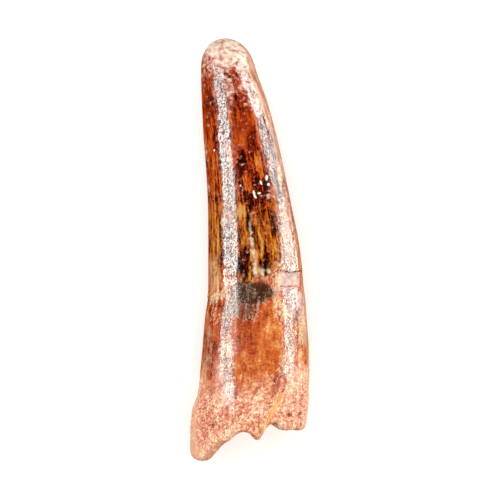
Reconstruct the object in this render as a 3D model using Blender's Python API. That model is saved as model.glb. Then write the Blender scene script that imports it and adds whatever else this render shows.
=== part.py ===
"""A fossil spinosaurus tooth lying on its side, built as one solid.

The tip points to +Y and the broken root to -Y. The side that shows faces +Z, the curved front edge of
the tooth faces +X, and the tooth rests on the plane z = 0. The origin is under the middle of its box.
Run it with: blender --background --python part.py
"""

import math

import bmesh
import bpy
import numpy as np

MM = 0.001

# Main sizes
TIP_Y = 45.0 * MM
ROOT_END_Y = -45.0 * MM
TIP_CAP = 6.5 * MM  # length of the rounded, worn tip
RIM_START_Y = -29.0 * MM  # below this line the wall is slid along Y to meet the ragged break
BREAK_Y = -38.5 * MM  # where the break lies on the whole

# The outline seen from above: y, left edge x, right edge x, in millimetres
OUTLINE = [
    (45.0, -10.5, 0.35),
    (38.5, -10.2, 1.1),
    (32.0, -10.05, 3.35),
    (24.5, -9.7, 5.4),
    (17.0, -9.1, 7.1),
    (9.0, -8.7, 8.75),
    (1.5, -8.65, 10.25),
    (-6.0, -8.75, 11.2),
    (-10.0, -9.0, 11.7),
    (-14.0, -9.45, 12.0),
    (-24.0, -10.35, 12.65),
    (-29.5, -10.85, 12.45),
    (-31.5, -11.25, 12.4),
    (-34.0, -12.3, 12.25),
    (-37.0, -12.55, 12.0),
    (-45.0, -12.6, 11.75),
]

# Half of the thickness, and how high the underside arches off the table: y, half, arch, in millimetres
THICKNESS = [
    (45.0, 5.2, 0.1),
    (38.5, 5.35, 0.0),
    (33.0, 5.85, 0.0),
    (22.0, 6.75, 0.45),
    (8.0, 7.9, 0.7),
    (-4.0, 8.55, 0.25),
    (-10.0, 8.8, 0.0),
    (-30.0, 9.5, 0.0),
    (-36.0, 9.4, 0.4),
    (-45.0, 8.9, 1.2),
]
REST_FLAT = 0.22 * MM  # how much of the underside is worn flat where it rests
PINCH = 0.12  # how far the section is pinched towards its two edges, like a lens

# The ragged end of the root on the side that shows: x, y, in millimetres
BREAK_TOP = [
    (-12.2, -43.6),
    (-11.3, -44.75),
    (-10.1, -45.0),
    (-8.9, -44.8),
    (-7.4, -43.3),
    (-6.1, -41.8),
    (-4.8, -40.7),
    (-3.4, -39.6),
    (-1.6, -38.8),
    (-0.2, -39.1),
    (1.1, -40.35),
    (2.3, -40.35),
    (3.4, -38.4),
    (4.4, -37.2),
    (5.8, -37.75),
    (7.0, -38.4),
    (9.2, -38.6),
    (10.4, -38.85),
    (11.2, -38.5),
]
# The same on the hidden side
BREAK_UNDER = [
    (-12.2, -41.0),
    (-9.5, -42.2),
    (-5.0, -39.4),
    (-1.0, -37.4),
    (2.0, -38.4),
    (5.0, -36.4),
    (9.0, -37.2),
    (11.2, -36.4),
]
BREAK_BLEND = (-0.45, 0.25)  # sines of the angles between which the hidden line turns into the shown one
RIM_ROUND = 1.0 * MM  # worn edge round the break
WALL = 3.4 * MM  # root wall round the pulp cavity
WALL_SLOPE = 1.1  # how far in the cavity's side runs, in wall thicknesses
CAVITY_FLOOR_Y = -35.2 * MM  # sandstone that fills the cavity
CAVITY_ROUGH = 0.7 * MM

# Relief of the crown: the two cutting edges, the broad flutes and the end of the enamel
KEEL = 0.32 * MM
KEEL_WIDTH = 0.13  # radians round the section
KEEL_ON_ROOT = 0.25
KEEL_RIGHT = math.radians(20.0)
KEEL_LEFT = math.radians(172.0)
FLUTE = 0.09 * MM
FLUTES = 16
ENAMEL_END_Y = -6.8 * MM
ENAMEL_STEP = 0.22 * MM  # the root starts this much lower than the enamel
ENAMEL_FADE = 7.0 * MM

# Uneven surface of the root: share, then waves along x, y and z in radians per millimetre, then phase
LUMP = 0.24 * MM
LUMP_START = (4.0 * MM, 14.0 * MM)  # below the enamel
LUMP_WAVES = [
    (0.35, 0.62, 0.31, 0.40, 0.0),
    (0.30, 0.35, 0.48, -0.71, 1.3),
    (0.20, 1.05, -0.66, 0.0, 2.1),
    (0.15, -0.50, 0.92, 1.21, 0.7),
]

# A chip through the enamel, near the right edge: lowest and highest x and y
CHIP_X = (6.2 * MM, 10.4 * MM)
CHIP_Y = (-8.4 * MM, -4.6 * MM)
CHIP_DEPTH = 0.3 * MM
CHIP_EDGE = 0.3 * MM

# The crack in the root: y, x, half width, in millimetres, from its apex to the notch in the rim
CRACK = [
    (-26.0, 6.9, 0.35),
    (-29.0, 6.6, 0.9),
    (-31.3, 6.2, 1.3),
    (-34.6, 4.8, 1.25),
    (-37.0, 3.6, 1.15),
    (-40.5, 2.7, 1.1),
]
CRACK_DEPTH = 1.25 * MM
CRACK_FLOOR = 0.25  # share of the half width that the flat floor of the crack takes

# Grid: columns round the tooth, and rows in each zone from the tip to the middle of the break
COLUMNS = 80
CAP_ROWS = 8
CROWN_ROWS = 17
ROOT_ROWS = 20
ROUND_ROWS = 3
FACE_ROWS = 10

ENAMEL_COLOUR = (0.30, 0.075, 0.022, 1.0)
ROOT_COLOUR = (0.62, 0.25, 0.14, 1.0)
FILL_COLOUR = (0.42, 0.13, 0.07, 1.0)


def smooth_step(low, high, value):
    """0 below low, 1 above high, with an S-shaped rise between them."""
    t = np.clip((value - low) / (high - low), 0.0, 1.0)
    return t * t * (3.0 - 2.0 * t)


def window(limits, edge, value):
    """1 between two limits and 0 outside them, over a soft edge of twice the given width."""
    low, high = limits
    return smooth_step(low - edge, low + edge, value) * (1.0 - smooth_step(high - edge, high + edge, value))


def through(stations, column, at):
    """A smooth curve through one column of a table of stations, read at the given places, in metres.

    Each span is a cubic whose slopes at its ends are the mean slopes of its neighbours.
    """
    table = np.array(sorted(stations), float) * MM
    place, value = table[:, 0], table[:, column]
    span_slope = np.diff(value) / np.diff(place)
    slope = np.concatenate([span_slope[:1], (span_slope[1:] + span_slope[:-1]) / 2.0, span_slope[-1:]])
    at = np.clip(at, place[0], place[-1])
    i = np.clip(np.searchsorted(place, at) - 1, 0, len(place) - 2)
    width = place[i + 1] - place[i]
    t = (at - place[i]) / width
    return (
        value[i] * (1 + 2 * t) * (1 - t) ** 2
        + slope[i] * width * t * (1 - t) ** 2
        + value[i + 1] * t * t * (3 - 2 * t)
        + slope[i + 1] * width * t * t * (t - 1)
    )


def cap_factor(y):
    """How much of the full section is left inside the rounded tip: an ellipse along Y."""
    reach = np.clip((y - (TIP_Y - TIP_CAP)) / TIP_CAP, 0.0, 1.0)
    return np.sqrt(np.clip(1.0 - reach**2, 0.0, 1.0))


def section(y, angle):
    """Centre of the cross-section at y, and its rim from there, for an angle from +X towards +Z."""
    left, right = through(OUTLINE, 1, y), through(OUTLINE, 2, y)
    half, arch = through(THICKNESS, 1, y), through(THICKNESS, 2, y)
    centre_x = (left + right) / 2.0
    centre_z = half + arch - REST_FLAT
    shrink = cap_factor(y)
    across = (right - left) / 2.0 * shrink * np.cos(angle)
    up = half * shrink * np.sin(angle) * (1.0 - PINCH * np.cos(angle) ** 4)
    return centre_x, centre_z, across, up


def break_line(angle):
    """y of the end of the root for each angle, read where the worn rim ends, just inside the wall."""
    left, right = through(OUTLINE, 1, BREAK_Y), through(OUTLINE, 2, BREAK_Y)
    x = (left + right) / 2.0 + ((right - left) / 2.0 - RIM_ROUND) * np.cos(angle)
    shown = smooth_step(*BREAK_BLEND, np.sin(angle))
    return through(BREAK_TOP, 1, x) * shown + through(BREAK_UNDER, 1, x) * (1.0 - shown)


def lumps(x, y, z):
    """Uneven surface between -1 and 1: crossing waves about 5 to 14 mm long."""
    x, y, z = x / MM, y / MM, z / MM
    return sum(share * np.sin(wx * x + wy * y + wz * z + phase) for share, wx, wy, wz, phase in LUMP_WAVES)


def enamel_line(angle):
    """y of the wavy lower edge of the enamel."""
    return ENAMEL_END_Y + (0.9 * np.sin(2 * angle + 0.6) + 0.5 * np.sin(5 * angle + 2.0)) * MM


def crack_depth(x, y):
    """Depth of the crack below the surface, from the distance to its middle line seen from above."""
    reach = np.abs(x - through(CRACK, 1, y)) / through(CRACK, 2, y)
    depth = CRACK_DEPTH * (1.0 - smooth_step(CRACK_FLOOR, 1.0, reach))
    return np.where(y < CRACK[0][0] * MM, depth, 0.0)


def keels(angle):
    """The two cutting edges: a rounded ridge at each edge of the section."""
    return sum(np.exp(-(((angle - at) / KEEL_WIDTH) ** 2)) for at in (KEEL_RIGHT, KEEL_LEFT))


def relief(x, y, z, angle):
    """How far the wall stands out from the plain section, by place and angle."""
    on_crown = smooth_step(-0.6 * MM, 0.6 * MM, y - enamel_line(angle))
    below_tip = 1.0 - smooth_step(TIP_Y - 1.6 * TIP_CAP, TIP_Y - 0.4 * TIP_CAP, y)
    out = KEEL * keels(angle) * below_tip * (KEEL_ON_ROOT + (1.0 - KEEL_ON_ROOT) * on_crown)
    out += FLUTE * np.cos(FLUTES * angle) * on_crown * below_tip
    out -= ENAMEL_STEP * (1.0 - on_crown) * smooth_step(-ENAMEL_FADE, 0.0, y - ENAMEL_END_Y)
    out += LUMP * lumps(x, y, z) * smooth_step(*LUMP_START, ENAMEL_END_Y - y)
    on_top = z > 0.6 * through(THICKNESS, 1, y)
    chip = CHIP_DEPTH * window(CHIP_X, CHIP_EDGE, x) * window(CHIP_Y, CHIP_EDGE, y)
    return out - np.where(on_top, chip + crack_depth(x, y), 0.0)


def wall_point(nominal_y, angle):
    """A point of the outer wall. The last stretch is slid along Y so that it ends at the ragged break."""
    end = break_line(angle) + RIM_ROUND
    nominal_end = ROOT_END_Y + RIM_ROUND
    stretch = (end - RIM_START_Y) / (nominal_end - RIM_START_Y)
    y = np.where(nominal_y < RIM_START_Y, RIM_START_Y + (nominal_y - RIM_START_Y) * stretch, nominal_y)
    centre_x, centre_z, across, up = section(y, angle)
    radius = np.maximum(np.hypot(across, up), 3.0 * MM)
    swell = 1.0 + relief(centre_x + across, y, centre_z + up, angle) / radius
    return centre_x + across * swell, y, centre_z + up * swell


def row_plan():
    """For each ring from tip to break: nominal y on the wall, turn round the rim, share of the way in."""
    cap_start = TIP_Y - TIP_CAP
    root_start = ENAMEL_END_Y - 2.5 * MM
    wall_end = ROOT_END_Y + RIM_ROUND
    quarter = math.pi / 2.0
    cap_turns = np.linspace(0.0, quarter, CAP_ROWS + 1)
    crown_y = np.linspace(cap_start, root_start, CROWN_ROWS + 1)[1:]
    root_y = np.linspace(root_start, wall_end, ROOT_ROWS + 1)[1:]
    rows = [(cap_start + TIP_CAP * math.cos(turn), 0.0, 0.0) for turn in cap_turns]
    rows += [(y, 0.0, 0.0) for y in (*crown_y, *root_y)]
    rows += [(wall_end, turn, 0.0) for turn in np.linspace(0.0, quarter, ROUND_ROWS + 1)[1:]]
    rows += [(wall_end, quarter, way_in) for way_in in np.linspace(0.0, 1.0, FACE_ROWS + 1)[1:]]
    return rows


def tooth_point(nominal_y, turn, way_in, angle):
    """A point of the tooth: the wall, then the rounded rim, then across the break into the cavity."""
    x, y, z = wall_point(nominal_y, angle)
    centre_x, centre_z, _, _ = section(np.full_like(angle, BREAK_Y), angle)
    inward_x, inward_z = centre_x - x, centre_z - z
    reach = np.hypot(inward_x, inward_z)
    rim = RIM_ROUND / np.maximum(reach, RIM_ROUND) * (1.0 - np.cos(turn))
    share = rim + (1.0 - rim) * way_in
    inner_x, inner_z = x + inward_x * share, z + inward_z * share
    rim_y = y - RIM_ROUND * np.sin(turn)
    in_cavity = smooth_step(0.0, 1.0 / 6.0, way_in) * smooth_step(
        WALL * (1.0 - WALL_SLOPE / 2.0), WALL * (1.0 + WALL_SLOPE / 2.0), share * reach
    )
    floor_y = CAVITY_FLOOR_Y + CAVITY_ROUGH * lumps(inner_x, inner_z, inner_x - inner_z)
    return inner_x, rim_y + (floor_y - rim_y) * in_cavity, inner_z


def build_tooth():
    """Shapes a sphere into the tooth: its rings become the rows, and its meridians the columns."""
    plan = np.array(row_plan())
    rings = len(plan) - 1
    bm = bmesh.new()
    bmesh.ops.create_uvsphere(bm, u_segments=COLUMNS, v_segments=rings, radius=1.0)
    verts = list(bm.verts)
    place = np.array([vert.co for vert in verts])
    ring = np.rint(np.arccos(np.clip(place[:, 2], -1.0, 1.0)) / math.pi * rings).astype(int)
    angle = np.mod(-np.arctan2(place[:, 1], place[:, 0]) + math.pi / 2, 2 * math.pi) - math.pi / 2
    x, y, z = tooth_point(*plan[ring].T, angle)
    for vert, co in zip(verts, np.stack([x, y, np.maximum(z, 0.0)], axis=1)):
        vert.co = co
    bmesh.ops.recalc_face_normals(bm, faces=bm.faces)
    mesh = bpy.data.meshes.new("tooth")
    bm.to_mesh(mesh)
    bm.free()
    return mesh


def material(name, colour, roughness):
    """A plain Principled material."""
    made = bpy.data.materials.new(name)
    made.use_nodes = True
    shader = made.node_tree.nodes["Principled BSDF"]
    shader.inputs["Base Color"].default_value = colour
    shader.inputs["Roughness"].default_value = roughness
    shader.inputs["Metallic"].default_value = 0.0
    return made


def colour_faces(mesh):
    """Enamel on the crown, mineralised root below it, and sandstone in the cavity."""
    mesh.materials.append(material("enamel", ENAMEL_COLOUR, 0.22))
    mesh.materials.append(material("root", ROOT_COLOUR, 0.6))
    mesh.materials.append(material("sandstone fill", FILL_COLOUR, 0.9))
    for face in mesh.polygons:
        if face.center.y > ENAMEL_END_Y:
            face.material_index = 0
        elif face.normal.y < -0.5 and face.center.y > BREAK_Y:
            face.material_index = 2
        else:
            face.material_index = 1


def main():
    """Builds the tooth in a collection of its own."""
    for obj in list(bpy.data.objects):
        bpy.data.objects.remove(obj, do_unlink=True)
    collection = bpy.data.collections.new("fossil tooth")
    bpy.context.scene.collection.children.link(collection)
    mesh = build_tooth()
    colour_faces(mesh)
    mesh.shade_smooth()
    mesh.set_sharp_from_angle(angle=math.radians(50.0))
    tooth = bpy.data.objects.new("tooth", mesh)
    collection.objects.link(tooth)


main()
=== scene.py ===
"""The looks of a fossil spinosaurus tooth that lies on a pale table, seen from straight above.

The tip points to +Y, the broken root to -Y, and the side that shows faces +Z. Lengths are in millimetres
where nothing else is said, and the meshes are written in metres. Three forms make the object: the enamel
crown, the mineralised root under it, and what the desert sandstone left on them.
"""

import logging
import math
from dataclasses import dataclass
from enum import Enum
from typing import Any

import bpy
import numpy as np
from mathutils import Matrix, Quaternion, Vector


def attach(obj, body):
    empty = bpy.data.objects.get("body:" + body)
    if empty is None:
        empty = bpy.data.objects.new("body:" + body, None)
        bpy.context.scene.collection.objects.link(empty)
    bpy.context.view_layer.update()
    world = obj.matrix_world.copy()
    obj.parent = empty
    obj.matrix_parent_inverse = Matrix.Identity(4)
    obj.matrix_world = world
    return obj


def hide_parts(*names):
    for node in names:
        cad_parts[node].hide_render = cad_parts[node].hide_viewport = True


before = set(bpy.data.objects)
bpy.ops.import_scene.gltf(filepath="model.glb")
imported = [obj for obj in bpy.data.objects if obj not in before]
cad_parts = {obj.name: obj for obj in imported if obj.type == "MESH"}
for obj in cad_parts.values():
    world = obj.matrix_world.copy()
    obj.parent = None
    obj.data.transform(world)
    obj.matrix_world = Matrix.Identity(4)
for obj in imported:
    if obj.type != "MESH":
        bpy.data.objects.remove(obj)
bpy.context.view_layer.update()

LOG = logging.getLogger("fossil tooth")
MM = 0.001

# Sockets of the colour Mix node
MIX_FACTOR, MIX_A, MIX_B, MIX_COLOUR = 0, 6, 7, 2

# Colours of the root's stone, from dark to light: the enamel wears down to them near its edge
ROOT_STONE = (
    (0.12, "#4B1B0C"),
    (0.28, "#91330E"),
    (0.44, "#B84B1A"),
    (0.60, "#CC682A"),
    (0.76, "#DA8C46"),
    (0.94, "#E8C28E"),
)

Array = np.ndarray
Stations = tuple[tuple[float, ...], ...]


class Mark(Enum):
    """The named values that a mesh carries for its material."""

    GROWN = "grown"  # place on the tooth as if it were a straight cylinder: streaks follow it
    DEPTH = "depth"  # how light or dark the amber is, above or below its own pattern
    # frost: whitish frost on worn enamel, and also painted sheen and a painted highlight laid on in the same pale
    # colours
    FROST_AND_SHEEN = "frost"
    PALE = "pale"
    SOOT = "soot"
    SAND = "sand"
    # peach: the root lobe's own colour, and also a painted reflection of the pale table along the right rims, with
    # painted sheen over the crown's right highlight
    PEACH_AND_RIM_REFLECTION = "peach"
    # crevice: painted shade in the crack's arms, its grooves and the small pits
    CREVICE_SHADE = "crevice_shade"
    VEIN = "vein"
    CALM = "calm"  # how much of the fine mottling is left out
    WORN = "worn"
    PITTED = "pitted"  # how strongly the fine pits and wrinkles show
    THIN = "thin"  # how far the enamel has worn down to the stone of the root
    TINT = "tint"


def srgb(hex_colour: str) -> tuple[float, float, float, float]:
    """Turns an sRGB hex colour into linear RGBA.

    Args:
        hex_colour: six hex digits after a hash sign.

    Returns:
        Red, green, blue and an alpha of 1.
    """
    parts = (int(hex_colour[i : i + 2], 16) / 255.0 for i in (1, 3, 5))
    linear = (c / 12.92 if c <= 0.04045 else ((c + 0.055) / 1.055) ** 2.4 for c in parts)
    red, green, blue = linear
    return red, green, blue, 1.0


def smooth_step(low: float, high: float, value: Array) -> Array:
    """0 below low and 1 above high, with the S-shaped rise 3t^2 - 2t^3 between them."""
    t = np.clip((value - low) / (high - low), 0.0, 1.0)
    return t * t * (3.0 - 2.0 * t)


def window(limits: tuple[float, float], edge: float, value: Array) -> Array:
    """1 between two limits and 0 outside them, over a soft edge of twice the given width."""
    low, high = limits
    return smooth_step(low - edge, low + edge, value) * (1.0 - smooth_step(high - edge, high + edge, value))


def through(stations: Stations, column: int, at: Array) -> Array:
    """Reads a smooth curve through one column of a table of stations.

    Each span is a cubic whose slopes at its ends are the mean slopes of its neighbours.

    Args:
        stations: rows whose first number is the place.
        column: which number of each row the curve goes through.
        at: the places to read it at.

    Returns:
        The curve's values there.
    """
    table = np.array(sorted(stations), float)
    place, value = table[:, 0], table[:, column]
    span_slope = np.diff(value) / np.diff(place)
    slope = np.concatenate([span_slope[:1], (span_slope[1:] + span_slope[:-1]) / 2.0, span_slope[-1:]])
    at = np.clip(at, place[0], place[-1])
    i = np.clip(np.searchsorted(place, at) - 1, 0, len(place) - 2)
    width = place[i + 1] - place[i]
    t = (at - place[i]) / width
    return (
        value[i] * (1 + 2 * t) * (1 - t) ** 2
        + slope[i] * width * t * (1 - t) ** 2
        + value[i + 1] * t * t * (3 - 2 * t)
        + slope[i + 1] * width * t * t * (t - 1)
    )


def cell_random(ix: Array, iy: Array, iz: Array, seed: int) -> Array:
    """A repeatable random number from 0 to 1 for each whole-number place: the mixed bits of its products."""
    bits = (ix * 73856093) ^ (iy * 19349663) ^ (iz * 83492791) ^ (seed * 2654435761)
    bits = bits & 0xFFFFFFFF
    bits = ((bits ^ (bits >> 13)) * 1274126177) & 0xFFFFFFFF
    return ((bits ^ (bits >> 16)) & 0xFFFFFF) / 0xFFFFFF


def value_noise(place: Array, size: float | tuple[float, float, float], seed: int) -> Array:
    """Smooth noise between -1 and 1: random numbers at lattice points, blended by 3t^2 - 2t^3.

    Args:
        place: points, with x, y and z last.
        size: how far apart the lattice points are, the same or not along the three directions.
        seed: which noise.

    Returns:
        One number for each point.
    """
    scaled = place / np.broadcast_to(np.array(size, float), (3,))
    whole = np.floor(scaled).astype(np.int64)
    part = scaled - whole
    fade = part * part * (3.0 - 2.0 * part)
    total = np.zeros(place.shape[:-1])
    for corner in np.ndindex(2, 2, 2):
        weight = np.prod(np.where(np.array(corner) == 1, fade, 1.0 - fade), axis=-1)
        at = whole + np.array(corner)
        total += weight * cell_random(at[..., 0], at[..., 1], at[..., 2], seed)
    return 2.0 * total - 1.0


def pebbles(place: Array, size: float, seed: int) -> Array:
    """Rounded bumps from 0 to 1, one in each cell: 1 less the squared distance to the nearest jittered centre.

    Args:
        place: points, with x, y and z last.
        size: width of a cell.
        seed: which pattern.

    Returns:
        One number for each point.
    """
    scaled = place / size
    whole = np.floor(scaled).astype(np.int64)
    nearest = np.full(place.shape[:-1], 9.0)
    for step in np.ndindex(3, 3, 3):
        at = whole + np.array(step) - 1
        jitter = [cell_random(at[..., 0], at[..., 1], at[..., 2], seed + k) for k in range(3)]
        gap = scaled - at - (0.15 + 0.7 * np.stack(jitter, axis=-1))
        nearest = np.minimum(nearest, np.sum(gap * gap, axis=-1))
    return np.clip(1.0 - nearest, 0.0, 1.0)


def near_line(x: Array, y: Array, points: Stations, half_width: float) -> Array:
    """1 on a bent line seen from above, falling to 0 at its half width.

    The distance to each straight span is the length of what is left of the gap after the part along the
    span is taken off, and the smallest one counts.
    """
    nearest = np.full(x.shape, 1e9)
    for (ax, ay), (bx, by) in zip(points[:-1], points[1:]):
        along = ((x - ax) * (bx - ax) + (y - ay) * (by - ay)) / ((bx - ax) ** 2 + (by - ay) ** 2)
        along = np.clip(along, 0.0, 1.0)
        nearest = np.minimum(nearest, np.hypot(x - ax - along * (bx - ax), y - ay - along * (by - ay)))
    return 1.0 - smooth_step(0.0, half_width, nearest)


@dataclass(frozen=True)
class Blot:
    """An oval patch on the side that shows: its middle, half width, half length and amount."""

    x: float
    y: float
    half_width: float
    half_length: float
    amount: float = 1.0


def blots_at(x: Array, y: Array, blots: tuple[Blot, ...]) -> Array:
    """The sum of the blots at each place seen from above: each is full in its middle and gone past its rim."""
    total = np.zeros(x.shape)
    for blot in blots:
        reach = np.hypot((x - blot.x) / blot.half_width, (y - blot.y) / blot.half_length)
        total += blot.amount * (1.0 - smooth_step(0.45, 1.25, reach))
    return total


@dataclass(frozen=True)
class ToothForm:
    """The tooth's plain shape, with the stations of its solid.

    A point is named by y along the tooth and by an angle round it, from +X towards +Z.
    """

    tip_y: float = 45.0
    root_end_y: float = -45.0
    tip_cap: float = 6.5
    rim_start_y: float = -29.0
    break_y: float = -38.5
    outline: Stations = (
        (45.0, -11.0, 0.4),
        (38.5, -10.35, 1.2),
        (32.0, -10.05, 3.45),
        (24.5, -9.7, 5.52),
        (17.0, -9.1, 7.2),
        (9.0, -8.7, 8.85),
        (1.5, -8.65, 10.36),
        (-6.0, -8.66, 11.28),
        (-8.5, -8.68, 11.52),
        (-10.0, -8.86, 11.7),
        (-14.0, -9.45, 12.0),
        (-24.0, -10.35, 12.65),
        (-29.5, -10.85, 12.45),
        (-31.5, -11.25, 12.4),
        (-34.0, -12.3, 12.25),
        (-37.0, -12.55, 12.0),
        (-45.0, -12.6, 11.75),
    )
    thickness: Stations = (
        (45.0, 5.2, 0.1),
        (38.5, 5.35, 0.0),
        (33.0, 5.85, 0.0),
        (22.0, 6.75, 0.45),
        (8.0, 7.9, 0.7),
        (-4.0, 8.55, 0.25),
        (-10.0, 8.8, 0.0),
        (-30.0, 9.5, 0.0),
        (-36.0, 9.4, 0.4),
        (-45.0, 8.9, 1.2),
    )
    rest_flat: float = 0.22
    pinch: float = 0.12
    break_top: Stations = (
        (-12.2, -43.6),
        (-11.3, -44.75),
        (-10.1, -45.0),
        (-9.2, -44.7),
        (-8.0, -43.4),
        (-6.7, -41.9),
        (-4.8, -40.7),
        (-3.4, -39.6),
        (-1.6, -38.8),
        (-0.2, -39.1),
        (1.1, -40.35),
        (2.3, -40.35),
        (3.4, -38.4),
        (4.4, -37.2),
        (5.8, -37.75),
        (7.0, -38.4),
        (9.2, -38.5),
        (10.4, -38.6),
        (11.2, -37.9),
    )
    break_under: Stations = (
        (-12.2, -41.0),
        (-9.5, -42.2),
        (-5.0, -39.4),
        (-1.0, -37.4),
        (2.0, -38.4),
        (5.0, -36.4),
        (9.0, -37.2),
        (11.2, -36.4),
    )
    break_blend: tuple[float, float] = (-0.45, 0.25)
    rim_round: float = 1.0
    sand_room: float = 0.28  # the rim stays this much short of the solid's, for the sand that stands out
    wall: float = 3.4
    wall_slope: float = 1.1
    cavity_floor_y: float = -35.2
    cavity_rough: float = 0.7
    keel: float = 0.3
    keel_width: float = 0.13
    keel_on_root: float = 0.25
    keel_angles: tuple[float, float] = (math.radians(20.0), math.radians(172.0))
    shoulder: float = 1.0  # the flattened strip beside the right cutting edge stands up this much
    shoulder_angle: float = math.radians(24.0)
    shoulder_width: float = math.radians(20.0)
    shoulder_share: Stations = (
        (45.0, 0.0),
        (38.0, 0.0),
        (35.0, 0.12),
        (31.0, 0.35),
        (26.0, 0.6),
        (20.0, 0.8),
        (13.0, 1.1),
        (5.0, 1.15),
        (-4.0, 1.1),
        (-11.0, 0.6),
        (-15.0, 0.0),
        (-22.0, -0.25),
        (-45.0, -0.1),
    )
    # Worn facets beside the two highlights: y, x of the inner and outer border, and slope in degrees
    left_facet: Stations = (
        (39.9, -5.53, -7.87, 20.8),
        (38.6, -5.53, -7.87, 23.1),
        (35.4, -5.53, -7.66, 19.1),
        (32.0, -5.11, -7.02, 21.0),
        (28.8, -4.89, -6.60, 20.2),
        (24.8, -4.26, -6.60, 21.9),
        (21.2, -4.04, -6.38, 23.0),
        (16.7, -3.62, -5.96, 23.6),
        (13.7, -3.40, -5.74, 25.5),
        (10.3, -3.19, -5.53, 28.3),
        (6.3, -2.77, -5.53, 31.5),
        (2.4, -2.55, -5.53, 32.1),
        (-1.0, -2.55, -5.53, 31.8),
        (-4.1, -2.77, -5.53, 31.9),
        (-7.3, -2.77, -5.32, 32.0),
        (-10.5, -2.98, -5.11, 29.2),
        (-13.9, -3.83, -5.85, 29.7),
        (-17.6, -4.15, -6.06, 30.8),
        (-21.4, -4.04, -6.17, 31.9),
        (-25.2, -3.72, -5.74, 33.0),
        (-28.8, -3.40, -5.21, 33.3),
        (-32.2, -3.19, -4.47, 31.9),
        (-35.2, -3.19, -4.26, 36.3),
    )
    right_facet: Stations = (
        (40.3, -3.40, -1.28, 35.8),
        (38.6, -3.19, -0.64, 36.1),
        (36.9, -2.55, 0.43, 34.0),
        (35.4, -1.70, 1.38, 33.8),
        (33.7, -0.85, 1.91, 34.4),
        (32.0, 0.00, 2.55, 34.9),
        (29.7, 0.85, 2.98, 35.2),
        (27.1, 1.70, 3.72, 35.4),
        (24.8, 2.13, 4.04, 35.7),
        (21.6, 2.77, 4.68, 35.8),
        (18.4, 3.62, 5.32, 35.8),
        (15.0, 4.47, 6.38, 36.0),
        (11.8, 5.43, 7.45, 36.5),
        (6.9, 5.96, 8.51, 37.1),
        (2.4, 6.49, 9.26, 37.6),
        (-2.4, 6.70, 9.68, 37.8),
        (-8.2, 6.81, 10.11, 37.9),
        (-10.7, 6.81, 9.79, 37.9),
        (-13.7, 7.45, 8.94, 37.9),
        (-16.7, 7.45, 9.04, 37.9),
        (-19.5, 7.55, 9.04, 38.0),
        (-22.2, 7.45, 9.15, 38.0),
        (-25.6, 7.45, 9.15, 38.1),
        (-27.8, 7.45, 8.72, 38.1),
    )
    facet_fade: float = 1.5
    facet_dome: Stations = ((45.0, 0.035), (12.0, 0.035), (8.0, 0.045), (-6.0, 0.05), (-12.0, 0.065))  # one over radius
    facet_fray: float = 0.28  # how far their borders wander
    flute: float = 0.02
    flutes: int = 16
    enamel_end_y: float = -6.2
    enamel_edge: Stations = (
        (0.0, -5.0),
        (27.0, -4.7),
        (42.0, -4.6),
        (60.0, -4.2),
        (72.0, -5.1),
        (90.0, -5.8),
        (105.0, -6.8),
        (125.0, -7.8),
        (150.0, -9.3),
        (180.0, -10.3),
        (225.0, -9.3),
        (270.0, -7.5),
        (315.0, -6.0),
        (360.0, -5.0),
    )
    enamel_step: float = 0.06
    enamel_fade: float = 7.0
    lump: float = 0.24
    lump_start: tuple[float, float] = (4.0, 14.0)
    lump_waves: Stations = (
        (0.35, 0.62, 0.31, 0.40, 0.0),
        (0.30, 0.35, 0.48, -0.71, 1.3),
        (0.20, 1.05, -0.66, 0.0, 2.1),
        (0.15, -0.50, 0.92, 1.21, 0.7),
    )
    chip_x: tuple[float, float] = (6.2, 10.4)
    chip_y: tuple[float, float] = (-7.8, -4.75)
    chip_depth: float = 0.3
    chip_edge: float = 0.12
    crack: Stations = (
        (-26.0, 6.9, 0.35),
        (-29.0, 6.6, 0.9),
        (-31.3, 6.2, 1.3),
        (-34.6, 4.8, 1.25),
        (-37.0, 3.6, 1.15),
        (-40.5, 2.7, 1.1),
    )
    crack_deep: float = 1.25
    crack_floor: float = 0.25

    def cap_factor(self, y: Array) -> Array:
        """How much of the full section is left inside the rounded tip: an ellipse along Y."""
        reach = np.clip((y - (self.tip_y - self.tip_cap)) / self.tip_cap, 0.0, 1.0)
        return np.sqrt(np.clip(1.0 - reach**2, 0.0, 1.0))

    def section(self, y: Array, angle: Array) -> tuple[Array, Array, Array, Array]:
        """The cross-section at y: an ellipse pinched towards its edges by pinch times cos^4 of the angle.

        Args:
            y: place along the tooth.
            angle: angle round the section.

        Returns:
            x and z of its centre, then how far its rim is from there along x and z.
        """
        left, right = through(self.outline, 1, y), through(self.outline, 2, y)
        half, arch = through(self.thickness, 1, y), through(self.thickness, 2, y)
        shrink = self.cap_factor(y)
        across = (right - left) / 2.0 * shrink * np.cos(angle)
        up = half * shrink * np.sin(angle) * (1.0 - self.pinch * np.cos(angle) ** 4)
        return (left + right) / 2.0, half + arch - self.rest_flat, across, up

    def break_line(self, angle: Array) -> Array:
        """y of the end of the root for each angle, read where the worn rim ends, just inside the wall."""
        left, right = through(self.outline, 1, self.break_y), through(self.outline, 2, self.break_y)
        x = (left + right) / 2.0 + ((right - left) / 2.0 - self.rim_round) * np.cos(angle)
        shown = smooth_step(*self.break_blend, np.sin(angle))
        line = through(self.break_top, 1, x) * shown + through(self.break_under, 1, x) * (1.0 - shown)
        return line + self.sand_room

    def lumps(self, x: Array, y: Array, z: Array) -> Array:
        """Uneven surface between -1 and 1: crossing sine waves about 5 to 14 mm long."""
        return sum(share * np.sin(wx * x + wy * y + wz * z + phase) for share, wx, wy, wz, phase in self.lump_waves)

    def enamel_line(self, angle: Array) -> Array:
        """y of the lower edge of the enamel, higher on the right of the side that shows."""
        return through(self.enamel_edge, 1, np.degrees(np.mod(angle, 2.0 * math.pi)))

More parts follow.
